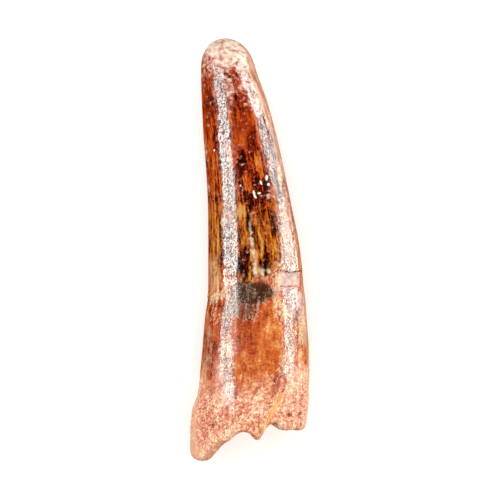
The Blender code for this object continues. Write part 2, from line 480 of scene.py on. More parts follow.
    def crack_depth(self, x: Array, y: Array) -> Array:
        """Depth of the crack, from the distance to its middle line seen from above."""
        reach = np.abs(x - through(self.crack, 1, y)) / through(self.crack, 2, y)
        depth = self.crack_deep * (1.0 - smooth_step(self.crack_floor, 1.0, reach))
        return np.where(y < self.crack[0][0], depth, 0.0)

    def keels(self, angle: Array) -> Array:
        """The two cutting edges: a bell-shaped ridge at each edge of the section."""
        return sum(np.exp(-(((angle - at) / self.keel_width) ** 2)) for at in self.keel_angles)

    def bevel(self, y: Array, angle: Array) -> Array:
        """How far the flattened strip beside the right cutting edge stands up: a bell over the angle."""
        bell = np.exp(-(((centred_angle(angle) - self.shoulder_angle) / self.shoulder_width) ** 2))
        return self.shoulder * through(self.shoulder_share, 1, y) * bell

    def facet(self, stations: Stations, y: Array, angle: Array) -> Array:
        """How far a worn facet moves the surface up or down.

        Between its borders the section follows a straight line that starts on the surface at the inner
        border. From the outer border to the edge of the section what was added or taken fades to nothing.

        Args:
            stations: y, x of the inner and the outer border, and the line's slope in degrees.
            y: place along the tooth.
            angle: angle round the section.

        Returns:
            The change of z.
        """
        inner, outer, slope = (through(stations, column, y) for column in (1, 2, 3))
        side = np.sign(outer - inner)
        fray = self.facet_fray * self.frayed(y, side) * (1.0 - smooth_step(27.0, 33.0, y))
        inner, outer = inner + fray, outer + fray
        centre_x, _, half, _ = self.section(y, 0.0 * y)

        def height(x: Array) -> Array:
            at = np.arccos(np.clip((x - centre_x) / np.maximum(half, 1e-6), -1.0, 1.0))
            _, centre_z, _, up = self.section(y, at)
            return centre_z + up + self.bevel(y, at)

        x = centre_x + half * np.cos(angle)
        reach, width = np.abs(x - inner), np.abs(outer - inner)
        line = height(inner) - np.tan(np.radians(slope)) * reach + 0.5 * through(self.facet_dome, 1, y) * reach * (width - reach)
        at_outer = height(inner) - np.tan(np.radians(slope)) * width - height(outer)
        room = np.maximum(side * (centre_x - outer) + half, 0.05)
        past = np.clip(1.0 - side * (x - outer) / room, 0.0, 1.0)
        change = np.where(side * (x - outer) > 0.0, at_outer * past, line - height(x))
        change = np.where(side * (x - inner) < 0.0, 0.0, change)
        first, last = max(row[0] for row in stations), min(row[0] for row in stations)
        share = (1.0 - smooth_step(first - self.facet_fade, first, y)) * smooth_step(last, last + self.facet_fade, y)
        return np.where(np.sin(angle) > 0.0, change * share, 0.0)

    def frayed(self, y: Array, side: Array) -> Array:
        """How the facets' borders wander along the tooth, between -1 and 1: noises 1.6 and 0.7 mm long."""
        place = np.stack([9.0 * side, 0.0 * y, y], axis=-1)
        return 0.7 * value_noise(place, 1.6, 71) + 0.4 * value_noise(place, 0.7, 72)

    def on_facets(self, x: Array, y: Array, border: float = 0.4) -> Array:
        """1 on the two worn facets, seen from above, and 0 beside them, over a soft border of twice that width."""
        total = np.zeros(x.shape)
        for stations in (self.left_facet, self.right_facet):
            inner, outer = through(stations, 1, y), through(stations, 2, y)
            first, last = max(row[0] for row in stations), min(row[0] for row in stations)
            across = window((np.minimum(inner, outer), np.maximum(inner, outer)), border, x)
            total += across * window((last, first), self.facet_fade, y)
        return total

    def below_tip(self, y: Array) -> Array:
        """0 on the worn tip and 1 below it."""
        return 1.0 - smooth_step(self.tip_y - 1.6 * self.tip_cap, self.tip_y - 0.4 * self.tip_cap, y)

    def on_top(self, y: Array, z: Array) -> Array:
        """True on the side that shows."""
        return z > 0.6 * through(self.thickness, 1, y)

    def turned_away(self, angle: Array) -> Array:
        """1 on the left flank and the underside and 0 on the side that shows, over soft borders."""
        return 1.0 - window((-0.1, 2.1), 0.2, centred_angle(angle))

    def chip(self, x: Array, y: Array) -> Array:
        """1 in the square chip at the enamel's edge, and 0 outside it."""
        return window(self.chip_x, self.chip_edge, x) * window(self.chip_y, self.chip_edge, y)

    def swollen(self, y: Array, angle: Array, out: Array) -> Array:
        """The point of the section at y and angle, moved away from the section's centre by out, with the bevel.

        Args:
            y: place along the tooth.
            angle: angle round the section.
            out: how far the point stands out.

        Returns:
            Points, with x, y and z last.
        """
        centre_x, centre_z, across, up = self.section(y, angle)
        swell = 1.0 + out / np.maximum(np.hypot(across, up), 3.0)
        z = centre_z + up * swell + self.bevel(y, angle)
        y = y + 0.0 * angle
        z = z + self.facet(self.left_facet, y, angle) + self.facet(self.right_facet, y, angle)
        return np.stack([centre_x + across * swell, y, z], axis=-1)


@dataclass
class RingSurface:
    """A closed surface of rings of points, points[ring, column], with one more point closing each end."""

    points: Array
    first: Array
    last: Array

    def normals(self) -> Array:
        """Outward unit normals: the slope round the ring crossed with the slope from ring to ring."""
        rings = np.concatenate([self.points[:1], self.points, self.points[-1:]])
        rings[0], rings[-1] = self.first, self.last
        down = rings[2:] - rings[:-2]
        around = np.roll(self.points, -1, axis=1) - np.roll(self.points, 1, axis=1)
        normal = np.cross(around, down)
        return normal / np.maximum(np.linalg.norm(normal, axis=-1, keepdims=True), 1e-12)

    def raise_by(self, height: Array) -> None:
        """Moves each point out along its normal by its height, and keeps the part above the table."""
        self.points = self.points + self.normals() * height[..., None]
        self.points[..., 2] = np.maximum(self.points[..., 2], 0.0)

    def build(self, name: str, marks: dict[Mark, Array]) -> bpy.types.Object:
        """Makes the mesh object: squares between the rings, and triangles to the two end points.

        Args:
            name: the object's name.
            marks: for each mark, one number or vector for each point of the rings.

        Returns:
            The object, in the scene.
        """
        rings, columns = self.points.shape[:2]
        column = np.arange(columns)
        beside = np.roll(column, -1)
        upper = (np.arange(rings - 1) * columns)[:, None]
        quads = np.stack([upper + column, upper + beside, upper + columns + beside, upper + columns + column], -1)
        first, last = rings * columns, rings * columns + 1
        top = np.stack([np.full(columns, first), beside, column], -1)
        end = (rings - 1) * columns
        bottom = np.stack([end + column, end + beside, np.full(columns, last)], -1)
        points = np.concatenate([self.points.reshape(-1, 3), [self.first, self.last]])
        obj = mesh_object(name, points, [quads.reshape(-1, 4), top, bottom])
        for mark, values in marks.items():
            ends = np.stack([values[0].mean(axis=0), values[-1].mean(axis=0)])
            flat = np.concatenate([values.reshape(-1, *values.shape[2:]), ends])
            write_mark(obj.data, mark, flat)
        return obj


def mesh_object(name: str, points: Array, faces: list[Array]) -> bpy.types.Object:
    """Makes a smooth-shaded mesh object in the scene.

    Args:
        name: the object's name.
        points: places in millimetres.
        faces: arrays of corner numbers, each with one face to a row.

    Returns:
        The object, at the origin.
    """
    mesh = bpy.data.meshes.new(name)
    mesh.vertices.add(len(points))
    mesh.vertices.foreach_set("co", (points * MM).astype(np.float32).ravel())
    corners = np.concatenate([group.ravel() for group in faces])
    sizes = np.concatenate([np.full(len(group), group.shape[1]) for group in faces])
    mesh.loops.add(len(corners))
    mesh.loops.foreach_set("vertex_index", corners.astype(np.int32))
    mesh.polygons.add(len(sizes))
    mesh.polygons.foreach_set("loop_start", (np.cumsum(sizes) - sizes).astype(np.int32))
    mesh.update(calc_edges=True)
    mesh.shade_smooth()
    obj = bpy.data.objects.new(name, mesh)
    bpy.context.scene.collection.objects.link(obj)
    return obj


def write_mark(mesh: bpy.types.Mesh, mark: Mark, values: Array) -> None:
    """Writes one number or vector for each vertex as a named attribute."""
    vector = values.ndim == 2
    made = mesh.attributes.new(mark.value, "FLOAT_VECTOR" if vector else "FLOAT", "POINT")
    made.data.foreach_set("vector" if vector else "value", values.astype(np.float32).ravel())


def as_grown(angle: Array, y: Array, radius: float = 9.0) -> Array:
    """The place on a straight cylinder of the tooth's mean radius, in millimetres."""
    return np.stack([radius * np.cos(angle), radius * np.sin(angle), y], axis=-1)


def settle(obj: bpy.types.Object, material: bpy.types.Material) -> None:
    """Gives a piece its finish and its place in the part: it stands for the tooth and moves with it."""
    obj.data.materials.append(material)
    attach(obj, "root")
    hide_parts("tooth")
    LOG.info("%s: %d faces, %s", obj.name, len(obj.data.polygons), material.name)


def add_node(
    tree: bpy.types.NodeTree,
    kind: str,
    inputs: dict[int | str, Any] | None = None,
    stops: tuple[tuple[float, str], ...] = (),
    **settings: Any,
) -> bpy.types.Node:
    """Adds a node with its settings, values and links.

    Args:
        tree: where the node goes.
        kind: its type.
        inputs: for an input's name or number, its value or the output socket that feeds it.
        stops: places and colours of a colour ramp.
        settings: properties of the node itself.

    Returns:
        The node.
    """
    node = tree.nodes.new(kind)
    for name, value in settings.items():
        setattr(node, name, value)
    for key, value in (inputs or {}).items():
        if isinstance(value, bpy.types.NodeSocket):
            tree.links.new(value, node.inputs[key])
        else:
            node.inputs[key].default_value = value
    for i, (place, colour) in enumerate(stops):
        ramp = node.color_ramp.elements
        element = ramp[i] if i < len(ramp) else ramp.new(place)
        element.position = place
        element.color = srgb(colour)
    return node


def new_material(name: str) -> tuple[bpy.types.Material, bpy.types.NodeTree, bpy.types.Node]:
    """A material of that name with its node tree and its Principled shader."""
    material = bpy.data.materials.new(name)
    material.use_nodes = True
    return material, material.node_tree, material.node_tree.nodes["Principled BSDF"]


@dataclass(frozen=True)
class Pattern:
    """One noise of a stone.

    The size of its cells is in millimetres, the stretch is how many times longer they are along the tooth,
    and the strength is how far it makes the colour's depth swing.
    """

    size: float
    stretch: float
    detail: float
    strength: float = 0.0
    roughness: float = 0.62

    def settings(self) -> dict[str, float]:
        """Values for the sockets of a Noise Texture."""
        return {"Scale": 1.0 / self.size, "Detail": self.detail, "Roughness": self.roughness}


@dataclass(frozen=True)
class FossilEnamel:
    """Tooth enamel turned to stone: apatite stained by iron, worn smooth and polished by hand.

    The eye sees a glassy skin with fine wrinkles and pits that break up every highlight, over amber that
    goes from honey through rust to near black, mottled near the tip and streaked further down.
    """

    name: str = "fossil enamel, amber and brown"
    ior: float = 1.95
    mottle: Pattern = Pattern(1.5, 1.8, 5.0, 0.95)
    streak: Pattern = Pattern(0.62, 8.0, 4.0, 1.7)
    cloud: Pattern = Pattern(5.5, 3.0, 2.0, 0.4)
    fine: Pattern = Pattern(0.36, 2.0, 2.0, 0.75)
    # Real enamel wrinkles are about 0.1 mm wide: they are drawn as coarse as it takes to show
    wrinkle: Pattern = Pattern(0.36, 1.8, 1.0)
    wrinkle_deep: float = 0.04
    fleck: Pattern = Pattern(0.25, 1.35, 1.0)
    fleck_deep: float = 0.024
    # Painted shade in the pits: the amber is made darker in each pit
    painted_pit_shade: float = 0.22  # how much deeper the amber looks in a pit
    fleck_span: tuple[float, float] = (0.53, 0.68)  # the noise values from a pit's rim to its floor
    chalk: Pattern = Pattern(1.05, 0.8, 2.5)
    gloss: tuple[float, float] = (0.1, 0.38)  # roughness between the flecks and on them
    streaked: tuple[float, float] = (18.0, 28.0)  # below the first y it is streaked, above the second mottled
    rusty: tuple[float, float] = (6.0, 17.0)  # above the second y the amber has turned to rust
    amber: tuple[tuple[float, str], ...] = (
        (0.14, "#200703"),
        (0.28, "#4A1506"),
        (0.42, "#7E3406"),
        (0.56, "#AC5006"),
        (0.72, "#C06C14"),
        (0.92, "#CCA055"),
    )
    rust: tuple[tuple[float, str], ...] = (
        (0.14, "#280502"),
        (0.28, "#560D02"),
        (0.43, "#8A2604"),
        (0.58, "#B04206"),
        (0.74, "#C45F0E"),
        (0.94, "#CC8848"),
    )
    # Pale colours of frost on worn enamel, also used for the painted sheen near the highlights
    frost: tuple[tuple[float, str], ...] = (
        (0.1, "#8A3C2C"),
        (0.3, "#B87868"),
        (0.5, "#D8A898"),
        (0.7, "#EED2BE"),
        (0.9, "#F8ECD6"),
    )
    pale: tuple[tuple[float, str], ...] = ((0.36, "#B06C48"), (0.48, "#D4AE84"), (0.6, "#E6D2AE"))
    # Peach of the right rim, a painted reflection of the pale table, and of the painted sheen over the right highlight
    peach: tuple[tuple[float, str], ...] = ((0.36, "#A05638"), (0.5, "#C88A66"), (0.64, "#DEB494"))

    def material(self) -> bpy.types.Material:
        """Builds the node tree: a depth of amber made of noises and the mesh's own depth mark."""
        material, tree, shader = new_material(self.name)
        marks = {
            mark: add_node(tree, "ShaderNodeAttribute", attribute_name=mark.value).outputs["Fac"]
            for mark in (
                Mark.DEPTH, Mark.CALM, Mark.FROST_AND_SHEEN, Mark.PALE, Mark.PEACH_AND_RIM_REFLECTION, Mark.WORN, Mark.THIN, Mark.PITTED
            )
        }
        grown = add_node(tree, "ShaderNodeAttribute", attribute_name=Mark.GROWN.value).outputs["Vector"]
        noises = {}
        for name in ("mottle", "streak", "cloud", "fine"):
            pattern = getattr(self, name)
            drawn = add_node(
                tree, "ShaderNodeMapping", {"Vector": grown, "Scale": (1.0, 1.0, 1.0 / pattern.stretch)}
            ).outputs[0]
            noises[name] = add_node(tree, "ShaderNodeTexNoise", {"Vector": drawn, **pattern.settings()}).outputs[0]
        place = add_node(tree, "ShaderNodeTexCoord").outputs["Object"]
        for name in ("wrinkle", "fleck", "chalk"):
            pattern = getattr(self, name)
            scale = (1.0 / MM, 1.0 / MM / pattern.stretch, 1.0 / MM)
            drawn = add_node(tree, "ShaderNodeMapping", {"Vector": place, "Scale": scale}).outputs[0]
            noises[name] = add_node(tree, "ShaderNodeTexNoise", {"Vector": drawn, **pattern.settings()}).outputs[0]
        along = add_node(tree, "ShaderNodeSeparateXYZ", {0: grown}).outputs["Z"]
        wander = add_node(
            tree, "ShaderNodeMath", {0: noises["cloud"], 1: 24.0, 2: along}, operation="MULTIPLY_ADD"
        ).outputs[0]
        zones = {}
        for name in ("streaked", "rusty"):
            low, high = getattr(self, name)
            zones[name] = add_node(
                tree,
                "ShaderNodeMapRange",
                {"Value": wander, "From Min": low + 12.0, "From Max": high + 12.0},
                interpolation_type="SMOOTHSTEP",
            ).outputs[0]
        less = add_node(tree, "ShaderNodeMapRange", {"Value": zones["streaked"], "To Min": 1.0, "To Max": 0.35})
        more = add_node(tree, "ShaderNodeMapRange", {"Value": zones["streaked"], "To Min": 0.55, "To Max": 1.0})
        unrest = add_node(tree, "ShaderNodeMapRange", {"Value": marks[Mark.CALM], "To Min": 1.4, "To Max": 0.3})
        depth = marks[Mark.DEPTH]
        for name, share in (("mottle", more), ("streak", less), ("cloud", unrest), ("fine", unrest)):
            swing = getattr(self, name).strength
            centred = add_node(tree, "ShaderNodeMath", {0: noises[name], 1: 0.5}, operation="SUBTRACT").outputs[0]
            for factor in {share: None, unrest: None}:
                centred = add_node(
                    tree, "ShaderNodeMath", {0: centred, 1: factor.outputs[0]}, operation="MULTIPLY"
                ).outputs[0]
            depth = add_node(
                tree, "ShaderNodeMath", {0: centred, 1: swing, 2: depth}, operation="MULTIPLY_ADD"
            ).outputs[0]
        low, high = self.fleck_span
        pit = add_node(
            tree, "ShaderNodeMapRange", {"Value": noises["fleck"], "From Min": low, "From Max": high}
        ).outputs[0]
        pitted = marks[Mark.PITTED]
        pit = add_node(tree, "ShaderNodeMath", {0: pit, 1: pitted}, operation="MULTIPLY").outputs[0]
        depth = add_node(
            tree, "ShaderNodeMath", {0: pit, 1: -self.painted_pit_shade, 2: depth}, operation="MULTIPLY_ADD"
        ).outputs[0]
        amber = add_node(tree, "ShaderNodeValToRGB", {0: depth}, stops=self.amber).outputs[0]
        rust = add_node(tree, "ShaderNodeValToRGB", {0: depth}, stops=self.rust).outputs[0]
        stone = add_node(tree, "ShaderNodeValToRGB", {0: depth}, stops=ROOT_STONE).outputs[0]
        frosty = add_node(
            tree, "ShaderNodeMath", {0: noises["chalk"], 1: 1.7, 2: marks[Mark.FROST_AND_SHEEN]}, operation="MULTIPLY_ADD"
        ).outputs[0]
        frosty = add_node(tree, "ShaderNodeMath", {0: frosty, 1: 0.84}, operation="SUBTRACT").outputs[0]
        # Painted shade in the pits: they also make the frost less pale
        frosty = add_node(
            tree, "ShaderNodeMath", {0: pit, 1: -0.25, 2: frosty}, operation="MULTIPLY_ADD"
        ).outputs[0]
        frost = add_node(tree, "ShaderNodeValToRGB", {0: frosty}, stops=self.frost).outputs[0]
        frosted = add_node(
            tree,
            "ShaderNodeMapRange",
            {"Value": frosty, "From Min": 0.08, "From Max": 0.42},
            interpolation_type="SMOOTHSTEP",
        ).outputs[0]
        peach = add_node(tree, "ShaderNodeValToRGB", {0: noises["streak"]}, stops=self.peach).outputs[0]
        pale = add_node(tree, "ShaderNodeValToRGB", {0: noises["chalk"]}, stops=self.pale).outputs[0]
        colour = amber
        for share, over in (
            (zones["rusty"], rust),
            (marks[Mark.THIN], stone),
            (frosted, frost),
            (marks[Mark.PALE], pale),
            (marks[Mark.PEACH_AND_RIM_REFLECTION], peach),
        ):
            colour = add_node(
                tree, "ShaderNodeMix", {MIX_FACTOR: share, MIX_A: colour, MIX_B: over}, data_type="RGBA"
            ).outputs[MIX_COLOUR]
        height = add_node(tree, "ShaderNodeMath", {0: noises["wrinkle"], 1: pitted}, operation="MULTIPLY").outputs[0]
        wrinkled = add_node(
            tree, "ShaderNodeBump", {"Height": height, "Strength": 1.0, "Distance": self.wrinkle_deep * MM}
        ).outputs[0]
        bump = add_node(
            tree,
            "ShaderNodeBump",
            {"Height": pit, "Strength": 1.0, "Distance": self.fleck_deep * MM, "Normal": wrinkled},
            invert=True,
        ).outputs[0]
        flecked = add_node(
            tree, "ShaderNodeMapRange", {"Value": pit, "To Min": self.gloss[0], "To Max": self.gloss[1]}
        ).outputs[0]
        rough = add_node(
            tree, "ShaderNodeMath", {0: marks[Mark.WORN], 1: 0.3, 2: flecked}, operation="MULTIPLY_ADD"
        ).outputs[0]
        tree.links.new(colour, shader.inputs["Base Color"])
        tree.links.new(rough, shader.inputs["Roughness"])
        tree.links.new(bump, shader.inputs["Normal"])
        shader.inputs["IOR"].default_value = self.ior
        return material


@dataclass(frozen=True)
class FossilRoot:
    """Dentine turned to stone and set with fine sand: glossy near the crown, granular near the break.

    The eye sees orange-red stone, a smoky band under the enamel, and pale salmon grains towards the end.
    """

    name: str = "mineralised root, orange and salmon"
    ior: float = 1.95
    mottle: Pattern = Pattern(2.0, 1.4, 4.0, 0.6)
    streak: Pattern = Pattern(0.62, 8.0, 4.0, 0.5)
    cloud: Pattern = Pattern(6.0, 1.5, 2.0, 0.5)
    fine: Pattern = Pattern(0.34, 1.3, 2.0, 0.5)
    wrinkle: Pattern = Pattern(0.34, 1.5, 1.0)
    wrinkle_deep: float = 0.075
    fleck: Pattern = Pattern(0.24, 1.3, 1.0)
    fleck_deep: float = 0.018
    # Painted shade in the pits: the stone is made darker in each pit
    painted_pit_shade: float = 0.5
    fleck_span: tuple[float, float] = (0.53, 0.68)
    gloss: tuple[float, float] = (0.18, 0.3)
    grain_size: float = 0.38
    stone: tuple[tuple[float, str], ...] = ROOT_STONE
    sandy: tuple[tuple[float, str], ...] = (
        (0.12, "#963824"),
        (0.28, "#C25A36"),
        (0.44, "#DA865C"),
        (0.6, "#E7A47C"),
        (0.76, "#F2C8A2"),
        (0.94, "#FBE8CE"),
    )
    smoke: tuple[tuple[float, str], ...] = (
        (0.12, "#22180F"),
        (0.36, "#4A3A28"),
        (0.6, "#7C6450"),
        (0.85, "#B49C8E"),
    )
    # Peach of the left lobe, which is its own colour, and of the painted reflection along the right rim
    peach: str = "#E2A582"
    pale: tuple[tuple[float, str], ...] = ((0.34, "#CE9A68"), (0.5, "#E2C29A"), (0.64, "#F2DEC4"))
    # Dark maroon of the painted shade in the crack, its grooves and the pits
    crevice_shade: str = "#8A2212"
    chalk: str = "#EAD6CC"
    vein: tuple[tuple[float, str], ...] = ((0.36, "#C07C30"), (0.5, "#E2A248"), (0.66, "#F2D098"))

    def material(self) -> bpy.types.Material:
        """Builds the node tree: two ramps of stone read by mottling, streaks and grains of sand."""
        material, tree, shader = new_material(self.name)
        shown_marks = (
            Mark.DEPTH, Mark.SAND, Mark.SOOT, Mark.PEACH_AND_RIM_REFLECTION, Mark.PALE, Mark.FROST_AND_SHEEN, Mark.CREVICE_SHADE, Mark.VEIN, Mark.WORN,
            Mark.THIN, Mark.PITTED,
        )
        marks = {
            mark: add_node(tree, "ShaderNodeAttribute", attribute_name=mark.value).outputs["Fac"]
            for mark in shown_marks
        }
        grown = add_node(tree, "ShaderNodeAttribute", attribute_name=Mark.GROWN.value).outputs["Vector"]
        noises = {}
        for name in ("mottle", "streak", "cloud", "fine"):
            pattern = getattr(self, name)
            drawn = add_node(
                tree, "ShaderNodeMapping", {"Vector": grown, "Scale": (1.0, 1.0, 1.0 / pattern.stretch)}
            ).outputs[0]
            noises[name] = add_node(tree, "ShaderNodeTexNoise", {"Vector": drawn, **pattern.settings()}).outputs[0]
        place = add_node(tree, "ShaderNodeTexCoord").outputs["Object"]
        for name in ("wrinkle", "fleck"):
            pattern = getattr(self, name)
            scale = (1.0 / MM, 1.0 / MM / pattern.stretch, 1.0 / MM)
            drawn = add_node(tree, "ShaderNodeMapping", {"Vector": place, "Scale": scale}).outputs[0]
            noises[name] = add_node(tree, "ShaderNodeTexNoise", {"Vector": drawn, **pattern.settings()}).outputs[0]
        cells = add_node(tree, "ShaderNodeTexVoronoi", {"Vector": place, "Scale": 1.0 / (self.grain_size * MM)})
        noises["grain"] = add_node(tree, "ShaderNodeSeparateColor", {0: cells.outputs["Color"]}).outputs[0]
        grain_share = add_node(
            tree, "ShaderNodeMapRange", {"Value": marks[Mark.SAND], "To Min": 0.08, "To Max": 0.58}
        ).outputs[0]
        streaky = add_node(
            tree, "ShaderNodeMath", {0: marks[Mark.THIN], 1: 1.15, 2: 1.4 * self.streak.strength}, operation="MULTIPLY_ADD"
        ).outputs[0]
        depth = marks[Mark.DEPTH]
        for name, strength in (
            ("mottle", 1.4 * self.mottle.strength),
            ("streak", streaky),
            ("cloud", 1.4 * self.cloud.strength),
            ("fine", 1.4 * self.fine.strength),
            ("grain", grain_share),
        ):
            centred = add_node(tree, "ShaderNodeMath", {0: noises[name], 1: 0.5}, operation="SUBTRACT").outputs[0]
            depth = add_node(
                tree, "ShaderNodeMath", {0: centred, 1: strength, 2: depth}, operation="MULTIPLY_ADD"
            ).outputs[0]
        low, high = self.fleck_span
        pit = add_node(
            tree, "ShaderNodeMapRange", {"Value": noises["fleck"], "From Min": low, "From Max": high}
        ).outputs[0]
        pit = add_node(tree, "ShaderNodeMath", {0: pit, 1: marks[Mark.PITTED]}, operation="MULTIPLY").outputs[0]
        depth = add_node(
            tree, "ShaderNodeMath", {0: pit, 1: -self.painted_pit_shade, 2: depth}, operation="MULTIPLY_ADD"
        ).outputs[0]
        stone = add_node(tree, "ShaderNodeValToRGB", {0: depth}, stops=self.stone).outputs[0]
        sandy = add_node(tree, "ShaderNodeValToRGB", {0: depth}, stops=self.sandy).outputs[0]
        smoky = add_node(tree, "ShaderNodeMath", {0: noises["fine"], 1: 1.5}, operation="MULTIPLY").outputs[0]
        for name, share in (("streak", 1.1), ("mottle", 1.4)):
            smoky = add_node(
                tree, "ShaderNodeMath", {0: noises[name], 1: share, 2: smoky}, operation="MULTIPLY_ADD"
            ).outputs[0]
        darker = add_node(
            tree, "ShaderNodeMath", {0: marks[Mark.SOOT], 1: -0.62, 2: smoky}, operation="MULTIPLY_ADD"
        ).outputs[0]
        darker = add_node(
            tree, "ShaderNodeMapRange", {"Value": darker, "From Min": 1.08, "From Max": 2.05}
        ).outputs[0]
        smoke = add_node(tree, "ShaderNodeValToRGB", {0: darker}, stops=self.smoke).outputs[0]
        sooty = add_node(tree, "ShaderNodeMath", {0: smoky, 1: marks[Mark.SOOT]}, operation="ADD").outputs[0]
        sooty = add_node(
            tree, "ShaderNodeMapRange", {"Value": sooty, "From Min": 2.25, "From Max": 2.85, "To Max": 0.95}
        ).outputs[0]
        allowed = add_node(tree, "ShaderNodeMath", {0: marks[Mark.SOOT], 1: 2.0}, operation="MULTIPLY").outputs[0]
        sooty = add_node(tree, "ShaderNodeMath", {0: sooty, 1: allowed}, operation="MINIMUM").outputs[0]
        faded = add_node(tree, "ShaderNodeMath", {0: smoky, 1: marks[Mark.PALE]}, operation="ADD").outputs[0]
        faded = add_node(
            tree, "ShaderNodeMapRange", {"Value": faded, "From Min": 2.35, "From Max": 2.9, "To Max": 0.9}
        ).outputs[0]
        pale = add_node(tree, "ShaderNodeValToRGB", {0: noises["fine"]}, stops=self.pale).outputs[0]
        vein = add_node(tree, "ShaderNodeValToRGB", {0: noises["streak"]}, stops=self.vein).outputs[0]
        colour = stone
        for share, over in (
            (marks[Mark.SAND], sandy),
            (marks[Mark.PEACH_AND_RIM_REFLECTION], srgb(self.peach)),
            (faded, pale),
            (sooty, smoke),
            (marks[Mark.FROST_AND_SHEEN], srgb(self.chalk)),
            (marks[Mark.VEIN], vein),
            (marks[Mark.CREVICE_SHADE], srgb(self.crevice_shade)),
        ):
            colour = add_node(
                tree, "ShaderNodeMix", {MIX_FACTOR: share, MIX_A: colour, MIX_B: over}, data_type="RGBA"
            ).outputs[MIX_COLOUR]
        height = add_node(
            tree, "ShaderNodeMath", {0: noises["wrinkle"], 1: marks[Mark.PITTED]}, operation="MULTIPLY"
        ).outputs[0]
        wrinkled = add_node(
            tree, "ShaderNodeBump", {"Height": height, "Strength": 1.0, "Distance": self.wrinkle_deep * MM}
        ).outputs[0]
        bump = add_node(
            tree,
            "ShaderNodeBump",
            {"Height": pit, "Strength": 1.0, "Distance": self.fleck_deep * MM, "Normal": wrinkled},
            invert=True,
        ).outputs[0]
        flecked = add_node(
            tree, "ShaderNodeMapRange", {"Value": pit, "To Min": self.gloss[0], "To Max": self.gloss[1]}
        ).outputs[0]
        rough = add_node(
            tree, "ShaderNodeMath", {0: marks[Mark.WORN], 1: 0.45, 2: flecked}, operation="MULTIPLY_ADD"
        ).outputs[0]
        tree.links.new(colour, shader.inputs["Base Color"])
        tree.links.new(rough, shader.inputs["Roughness"])
        tree.links.new(bump, shader.inputs["Normal"])
        shader.inputs["IOR"].default_value = self.ior
        return material


@dataclass(frozen=True)
class QuartzSand:
    """Grains of desert sandstone: quartz under a thin film of iron oxide.

    The eye sees small rounded crumbs from cream through salmon to rust, each with a soft glint.
    """

    name: str = "quartz sand, cream to rust"
    tints: tuple[tuple[float, str], ...] = (
        (0.0, "#752E1F"),
        (0.18, "#B75735"),
        (0.45, "#D28765"),
        (0.7, "#E1B193"),
        (1.0, "#EDDBC6"),
    )

    def material(self) -> bpy.types.Material:
        """Builds the node tree: one tint to each grain, with a slight cloudiness in it."""
        material, tree, shader = new_material(self.name)
        tint = add_node(tree, "ShaderNodeAttribute", attribute_name=Mark.TINT.value).outputs["Fac"]
        place = add_node(tree, "ShaderNodeTexCoord").outputs["Object"]
        cloud = add_node(
            tree, "ShaderNodeTexNoise", {"Vector": place, "Scale": 1.0 / (0.15 * MM), "Detail": 1.0}
        ).outputs[0]
        tint = add_node(tree, "ShaderNodeMath", {0: cloud, 1: 0.25, 2: tint}, operation="MULTIPLY_ADD").outputs[0]
        tint = add_node(tree, "ShaderNodeMath", {0: tint, 1: 0.125}, operation="SUBTRACT").outputs[0]
        colour = add_node(tree, "ShaderNodeValToRGB", {0: tint}, stops=self.tints).outputs[0]
        tree.links.new(colour, shader.inputs["Base Color"])
        shader.inputs["Roughness"].default_value = 0.42
        shader.inputs["IOR"].default_value = 1.54
        return material


@dataclass(frozen=True)
class WhiteCalcite:
    """Crumbs of white calcite that cling to the enamel. The eye sees small chalky white spots."""

    name: str = "white calcite crumbs"

    def material(self) -> bpy.types.Material:
        """Builds the node tree: near white with a faint cream mottling."""
        material, tree, shader = new_material(self.name)
        place = add_node(tree, "ShaderNodeTexCoord").outputs["Object"]
        cloud = add_node(
            tree, "ShaderNodeTexNoise", {"Vector": place, "Scale": 1.0 / (0.2 * MM), "Detail": 1.0}
        ).outputs[0]
        colour = add_node(
            tree, "ShaderNodeValToRGB", {0: cloud}, stops=((0.35, "#EFE6D2"), (0.6, "#FBFAF4"))
        ).outputs[0]
        tree.links.new(colour, shader.inputs["Base Color"])
        shader.inputs["Roughness"].default_value = 0.55
        return material


def ring_angles(top: int, under: int, spare: float = 0.12) -> Array:
    """Angles of the columns round the tooth, in one row: closer together on the side that shows.

    Args:
        top: how many columns the side that shows has.
        under: how many the other side has.
        spare: how far past the edges the close columns go, in radians.

    Returns:
        An array of one row.
    """
    shown = np.linspace(-spare, math.pi + spare, top)
    hidden = np.linspace(math.pi + spare, 2.0 * math.pi - spare, under + 2)[1:-1]
    return np.concatenate([shown, hidden])[None, :]


def centred_angle(angle: Array) -> Array:
    """The same angle between -90 and 270 degrees, so that both edges of the section lie well inside."""
    return np.mod(angle + math.pi / 2.0, 2.0 * math.pi) - math.pi / 2.0


